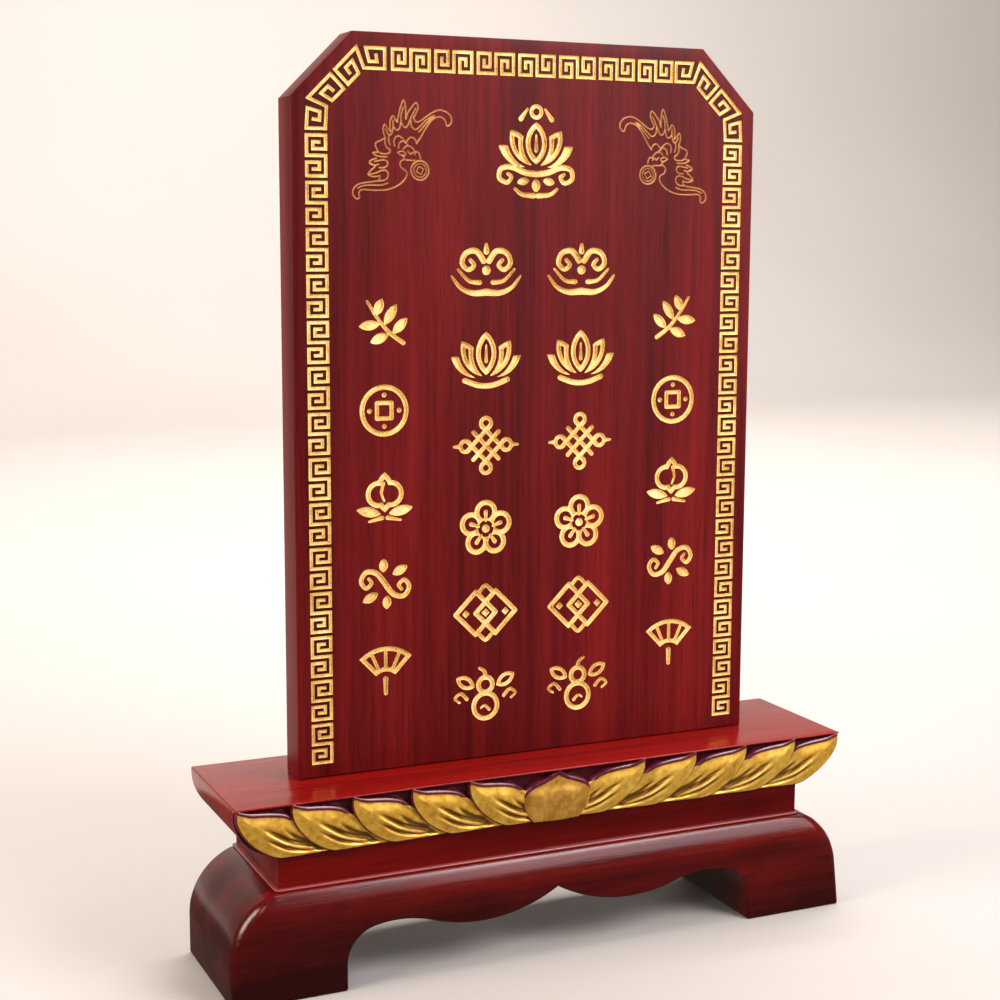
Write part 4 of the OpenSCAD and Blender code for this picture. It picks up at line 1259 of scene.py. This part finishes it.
def middle_petal():
    """The upright bud in the middle of the row."""
    right = even_line(BUD_SIDE, BUD_ROWS)
    left = right * (-1, 1)

    def fall(x, h, near, far):
        edge = min(near, far)
        upper = ease(h, -13.0, -8.0)
        depth = PETAL_SET + BUD_SET * ease(-h, 0.0, 5.0) + tuck_at(-h - CURVE_START, PETAL_TUCK, END_DROP)
        depth += rolled(edge, BUD_EDGE) + BUD_RIM_STEP * upper * ease(edge, PETAL_RIM - 0.5, PETAL_RIM + 0.3)
        return depth - BUD_BULGE * ease(edge, *BUD_REACH)

    def vein(x, h, near, far):
        edge = min(near, far)
        fan_x = x * (1 - BUD_FAN * (h + BUD_FAN_H))
        sway = math.cos(fan_x * BUD_CLOSE + BUD_SWAY * math.sin(BUD_WAVE * h))
        return BUD_VEIN * sway * ease(edge, 1.6, 4.5) * ease(-h, 11.0, 17.0) * ease(16 - abs(x), 0, 8)

    def gilt(x, h, near, far):
        rim = 0.5 + (PETAL_RIM - 0.4) * ease(h, -13.5, -9.0)
        return ease(min(near, far), rim - 0.4, rim + 0.5)

    return petal_shell(left, right, fall, gilt, vein, "middle_petal")


# Tips of the petals beside the middle: the first, their pitch and number, and the one at the end
TIP_FIRST, TIP_STEP, SIDE_PETALS = 46.5, 28.9, 4
TIP_LAST = PLANK_HIGH.x - 1.1


def lotus_petals():
    """The whole row: leaning petals on each side and the bud between them."""
    leaning = leaning_petal()
    bm = bmesh.new()

    def add(row, finish):
        row.polygons.foreach_set("material_index", [finish] * len(row.polygons))
        bm.from_mesh(row)

    for mirror in (1, -1):
        for count, tip in ((SIDE_PETALS, TIP_FIRST), (1, TIP_LAST)):
            add(set_out(leaning, PETAL_GILT, count, (mirror * tip, 0, 0), (mirror * TIP_STEP, 0, 0), 0,
                        (mirror, 1, 1)), 0)
    add(set_out(middle_petal(), BUD_GILT, 1, (0, 0, 0), (0, 0, 0)), 1)
    bmesh.ops.recalc_face_normals(bm, faces=bm.faces)
    mesh = bpy.data.meshes.new("lotus_petals")
    bm.to_mesh(mesh)
    bm.free()
    finished(mesh, [PETAL_GILT, BUD_GILT], "base", ["lotus_moulding"], 50)


# The waist
WAIST_ROUND, WAIST_FILLET = 0.8, 0.35


def waist():
    """The recessed waist with the bead round its foot, in rounded plan rings from the bottom up."""
    z0, z1 = WAIST_LOW.z, WAIST_HIGH.z
    half, front, back = WAIST_HIGH.x - BEAD_W, WAIST_LOW.y + BEAD_W, WAIST_HIGH.y
    profile = [(z0, BEAD_W - BEAD_EASE), (z0 + 0.8 * BEAD_EASE, BEAD_W)]
    bead_z, bead_out = z0 + BEAD_H - BEAD_ROUND, BEAD_W - BEAD_ROUND
    profile += [(bead_z + BEAD_ROUND * math.sin(a), bead_out + BEAD_ROUND * math.cos(a))
                for a in np.linspace(0, math.pi / 2, 6)]
    bead = range(2, len(profile))
    profile += [(z0 + BEAD_H, WAIST_FILLET), (z0 + BEAD_H + WAIST_FILLET, 0.0), (z1, 0.0)]
    rings = []
    for z, out in profile:
        ring = []
        for sx, sy, start in ((1, -1, -90), (1, 1, 0), (-1, 1, 90), (-1, -1, 180)):
            r = WAIST_ROUND + (out if sy < 0 else 0.0)
            cx = sx * (half + out - r)
            cy = front - out + r if sy < 0 else back - r
            ring += [(x, y, z) for x, y in arc((cx, cy), r, start, start + 90, 5)]
        rings.append(ring)
    n = len(rings[0])
    verts = [v for ring in rings for v in ring]
    faces = ring_faces(len(rings), n)
    # The bead's faces take the lighter lacquer, a painted highlight
    which = [int(k in bead) for k in range(len(rings) - 1) for i in range(n)]
    faces += [tuple(range(n))[::-1], tuple(range((len(rings) - 1) * n, len(rings) * n))]
    which += [0, 0]
    finished(plain_mesh("waist", verts, faces, which), [WAIST_SHADED_RED, BEAD_HIGHLIGHT_RED], "base", ["waist_board"])


# The stand
STAND_H = APRON_HIGH.z
STAND_HALF = APRON_HIGH.x
FOOT_LENGTH, FOOT_ROUND = 55.0, 1.2
FOOT_IN = STAND_HALF - FOOT_LENGTH
ARRIS, END_ARRIS = 1.0, 6.0
# The broad arris: heights and distances from the middle where it sets in, and its loss towards the top
BROAD_RISE, BROAD_ENDS, BROAD_TOP, BROAD_LOSS = (4, 24), (131, 141), (42, STAND_H), 0.7
STAND_TUCK, STAND_DROP = 21.2, 30.5
FRONT_TUCK, FRONT_DROP = 3.1, 11.0
# Points that carry the rounding of the front's face: their margin, spacing and reach
FILL_MARGIN, FILL_RISE, FILL_ACROSS, FILL_HALF = 0.9, 0.8, 4.0, 156
CUSP, LOBE, CROWN, CORNER_R = (0.0, 34.0), (40.0, 23.0), (83.0, 30.2), 17.0
# Points along the stand's top near its ends, where the front's arris narrows
TOP_POINTS = (138.5, 135.5, 131.0)


def arch_right():
    """The arch's edge from the cusp to the right foot: a hanging lobe, a crown and the turn down."""
    rise = CUSP[1] - LOBE[1]
    lobe_r = (LOBE[0] ** 2 + rise ** 2) / (2 * rise)
    lobe_z = LOBE[1] + lobe_r
    gap = lobe_z - CROWN[1]
    crown_r = ((CROWN[0] - LOBE[0]) ** 2 + gap ** 2 - lobe_r ** 2) / (2 * (CROWN[1] - LOBE[1]))
    crown_z = CROWN[1] - crown_r
    reach = crown_r - CORNER_R
    turn = math.asin((FOOT_IN - CORNER_R - CROWN[0]) / reach)
    corner = (CROWN[0] + reach * math.sin(turn), crown_z + reach * math.cos(turn))
    cusp_a = math.degrees(math.atan2(CUSP[1] - lobe_z, -LOBE[0]))
    bend_a = math.degrees(math.atan2(crown_z - lobe_z, CROWN[0] - LOBE[0]))
    turn_a = 90 - math.degrees(turn)
    return (arc((LOBE[0], lobe_z), lobe_r, cusp_a, bend_a, 26)
            + arc((CROWN[0], crown_z), crown_r, bend_a + 180, turn_a, 26)[1:]
            + arc(corner, CORNER_R, turn_a, 0, 16)[1:])


def foot_right():
    """The right foot's edge from its inner corner, round the bulging end, to the stand's top."""
    r = FOOT_ROUND
    swell = (STAND_TUCK ** 2 + STAND_DROP ** 2) / (2 * STAND_TUCK)
    top_a = math.degrees(math.asin(STAND_DROP / swell))
    return (arc((FOOT_IN + r, r), r, 180, 270, 5) + arc((STAND_HALF - r, r), r, 270, 360, 5)
            + arc((STAND_HALF - swell, STAND_H - STAND_DROP), swell, 0, top_a, 30))


def stand_loop():
    """The outline of the stand's front and back boards."""
    right = arch_right() + foot_right() + [(x, STAND_H) for x in TOP_POINTS]
    return right + mirrored(right[1:])


def front_arris(x, z):
    """Radius of the front's arris at a point of the outline, broad along the bulging ends."""
    broad = ease(z, *BROAD_RISE) * ease(abs(x), *BROAD_ENDS) * (1 - BROAD_LOSS * ease(z, *BROAD_TOP))
    return ARRIS + (END_ARRIS - ARRIS) * broad


def front_dish(z):
    """The rounding along the top of the stand's front."""
    return tuck_at(z - (STAND_H - FRONT_DROP), FRONT_TUCK, FRONT_DROP)


def inside_loop(loop, x, z):
    """Whether a point lies inside a closed outline."""
    p = np.array(loop)
    q = np.roll(p, -1, 0)
    over = (p[:, 1] > z) != (q[:, 1] > z)
    at = p[over, 0] + (z - p[over, 1]) / (q[over, 1] - p[over, 1]) * (q[over, 0] - p[over, 0])
    return np.count_nonzero(at > x) % 2 == 1


def front_apron():
    """The stand's front board, rounded along its top and ends."""
    loop = stand_loop()
    arris = np.array([front_arris(x, z) for x, z in loop])
    fill_zone = inset(loop, arris + FILL_MARGIN)
    rows = np.arange(STAND_H - FRONT_DROP - 1, STAND_H - ARRIS, FILL_RISE)
    columns = np.arange(-FILL_HALF, FILL_HALF + 1, FILL_ACROSS)
    extra = [(x, z) for z in rows for x in columns if inside_loop(fill_zone, x, z)]
    shell = joined(slab(loop, APRON_LOW.y, APRON_HIGH.y, arris, 0.0, front_dish),
                   sawn_face(inset(loop, arris), lambda z: APRON_LOW.y + front_dish(z), extra),
                   sawn_face(loop, lambda z: APRON_HIGH.y))
    finished(plain_mesh("stand_front", *shell), [STAND_SHADED_RED], "base", ["apron_front"])


def back_apron_and_feet():
    """The stand's back board and foot blocks."""
    back = closed_slab(stand_loop(), REAR_LOW.y, REAR_HIGH.y, 0.0, ARRIS)
    finished(plain_mesh("stand_back", *back), [STAND_SHADED_RED], "base", ["apron_back"])
    foot = foot_right() + [(FOOT_IN, STAND_H)]
    for side, name in ((1, "right"), (-1, "left")):
        loop = foot if side > 0 else mirrored(foot)
        shell = closed_slab(loop, BLOCK_LOW.y, BLOCK_HIGH.y)
        finished(plain_mesh("foot_" + name, *shell), [STAND_SHADED_RED], "base", ["foot_block_" + name])


# Hidden joinery
def dress_joinery():
    """Gives the CAD's own dowels and screws their finishes."""
    beech = bare_stock("beech", (140, 140, 700), 3.0, [(0.50, 0.33, 0.17), (0.66, 0.47, 0.27)],
                       0.55, 0.2, 0.0001)
    steel = bare_stock("bright_steel", (300, 300, 2600), 2.0, [(0.38, 0.38, 0.39), (0.58, 0.58, 0.60)],
                       0.25, 0.15, 0.00005, 1.0)
    for node in ("waist_dowels", "front_apron_dowels", "back_apron_dowels", "plank_screws"):
        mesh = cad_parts[node].data
        mesh.materials.clear()
        mesh.materials.append(steel if node == "plank_screws" else beech)


# Floor, light and camera
STAGE_HALF, FLOOR_NEAR, FLOOR_SPLIT, FLOOR_FAR, SWEEP_R, STAGE_TOP = 7.0, -4.0, 0.25, 2.4, 1.2, 5.0
SKY_COLOUR, SKY_STRENGTH = (1.0, 0.80, 0.68, 1.0), 0.12
# Each lamp: its place, what it is aimed at, size, power and colour
LAMPS = {"overhead": ((0.3, 0.1, 1.3), (0, 0, 0.2), 0.9, 12.0, (1.0, 0.98, 0.99)),
         "left": ((-1.3, -0.15, 0.75), (0, 0, 0.25), 0.7, 24.0, (1.0, 0.86, 0.74)),
         "brow": ((-0.75, -1.15, 1.05), (0, 0, 0.1), 0.4, 4.0, (1.0, 0.97, 0.94)),
         "front": ((0.53, -0.78, 0.92), (0, 0, 0.2), 0.55, 13.0, (1.0, 0.96, 0.98)),
         "card": ((0.95, -1.35, 0.65), (0, 0, 0.25), 1.0, 13.0, (1.0, 0.96, 1.0)),
         "backdrop": ((0.8, 1.0, 2.4), (1.1, 3.4, 0.9), 2.4, 205.0, (1.0, 0.945, 0.90))}


def stage_part(name, section, in_gloss):
    """A strip of the floor's sweep; the lacquer mirrors it only where in_gloss is true."""
    verts = [(x, y, z) for y, z in section for x in (-STAGE_HALF, STAGE_HALF)]
    faces = [(2 * i, 2 * i + 1, 2 * i + 3, 2 * i + 2) for i in range(len(section) - 1)]
    mesh = bpy.data.meshes.new(name)
    mesh.from_pydata(verts, [], faces)
    mesh.materials.append(PALE_FLOOR)
    mesh.shade_smooth()
    part = placed(name, mesh)
    part.visible_glossy = in_gloss


def studio():
    """A pale floor that sweeps up behind, and soft light from above, the front and the left."""
    stage_part("floor_front", [(FLOOR_NEAR, 0.0), (FLOOR_SPLIT, 0.0)], False)
    sweep = [(FLOOR_FAR + SWEEP_R * math.sin(a), SWEEP_R - SWEEP_R * math.cos(a))
             for a in np.linspace(0, math.pi / 2, 25)]
    stage_part("floor_back", [(FLOOR_SPLIT, 0.0), *sweep, (FLOOR_FAR + SWEEP_R, STAGE_TOP)], True)
    world = bpy.data.worlds.new("studio")
    world.use_nodes = True
    sky = world.node_tree.nodes["Background"]
    sky.inputs["Color"].default_value = SKY_COLOUR
    sky.inputs["Strength"].default_value = SKY_STRENGTH
    bpy.context.scene.world = world
    bpy.context.scene.view_settings.view_transform = "Standard"
    for name, (place, aim, size, power, colour) in LAMPS.items():
        light = bpy.data.lights.new(name, "AREA")
        light.shape = "SQUARE"
        light.size = size
        light.energy = power
        light.color = colour
        made = placed(name, light)
        made.location = place
        made.rotation_euler = (Vector(aim) - Vector(place)).to_track_quat("-Z", "Y").to_euler()


def camera():
    """The camera from the photograph's side, left of the front and a little above."""
    right = Vector((0.910523, -0.413444, 0.003458))
    down = Vector((-0.056196, -0.132037, -0.989651))
    ahead = Vector((0.409622, 0.900905, -0.143456))
    data = bpy.data.cameras.new("camera")
    data.sensor_width = 36.0
    data.lens = 64.557
    data.shift_x = -0.0002
    data.shift_y = -0.0043
    data.clip_start = 0.01
    made = placed("camera", data)
    place = Matrix((right, -down, -ahead)).transposed().to_4x4()
    place.translation = (-0.369372, -0.779432, 0.344470)
    made.matrix_world = place
    bpy.context.scene.camera = made


camera()
studio()
tablet_board()
top_plank()
lotus_ground()
lotus_petals()
waist()
front_apron()
back_apron_and_feet()
dress_joinery()
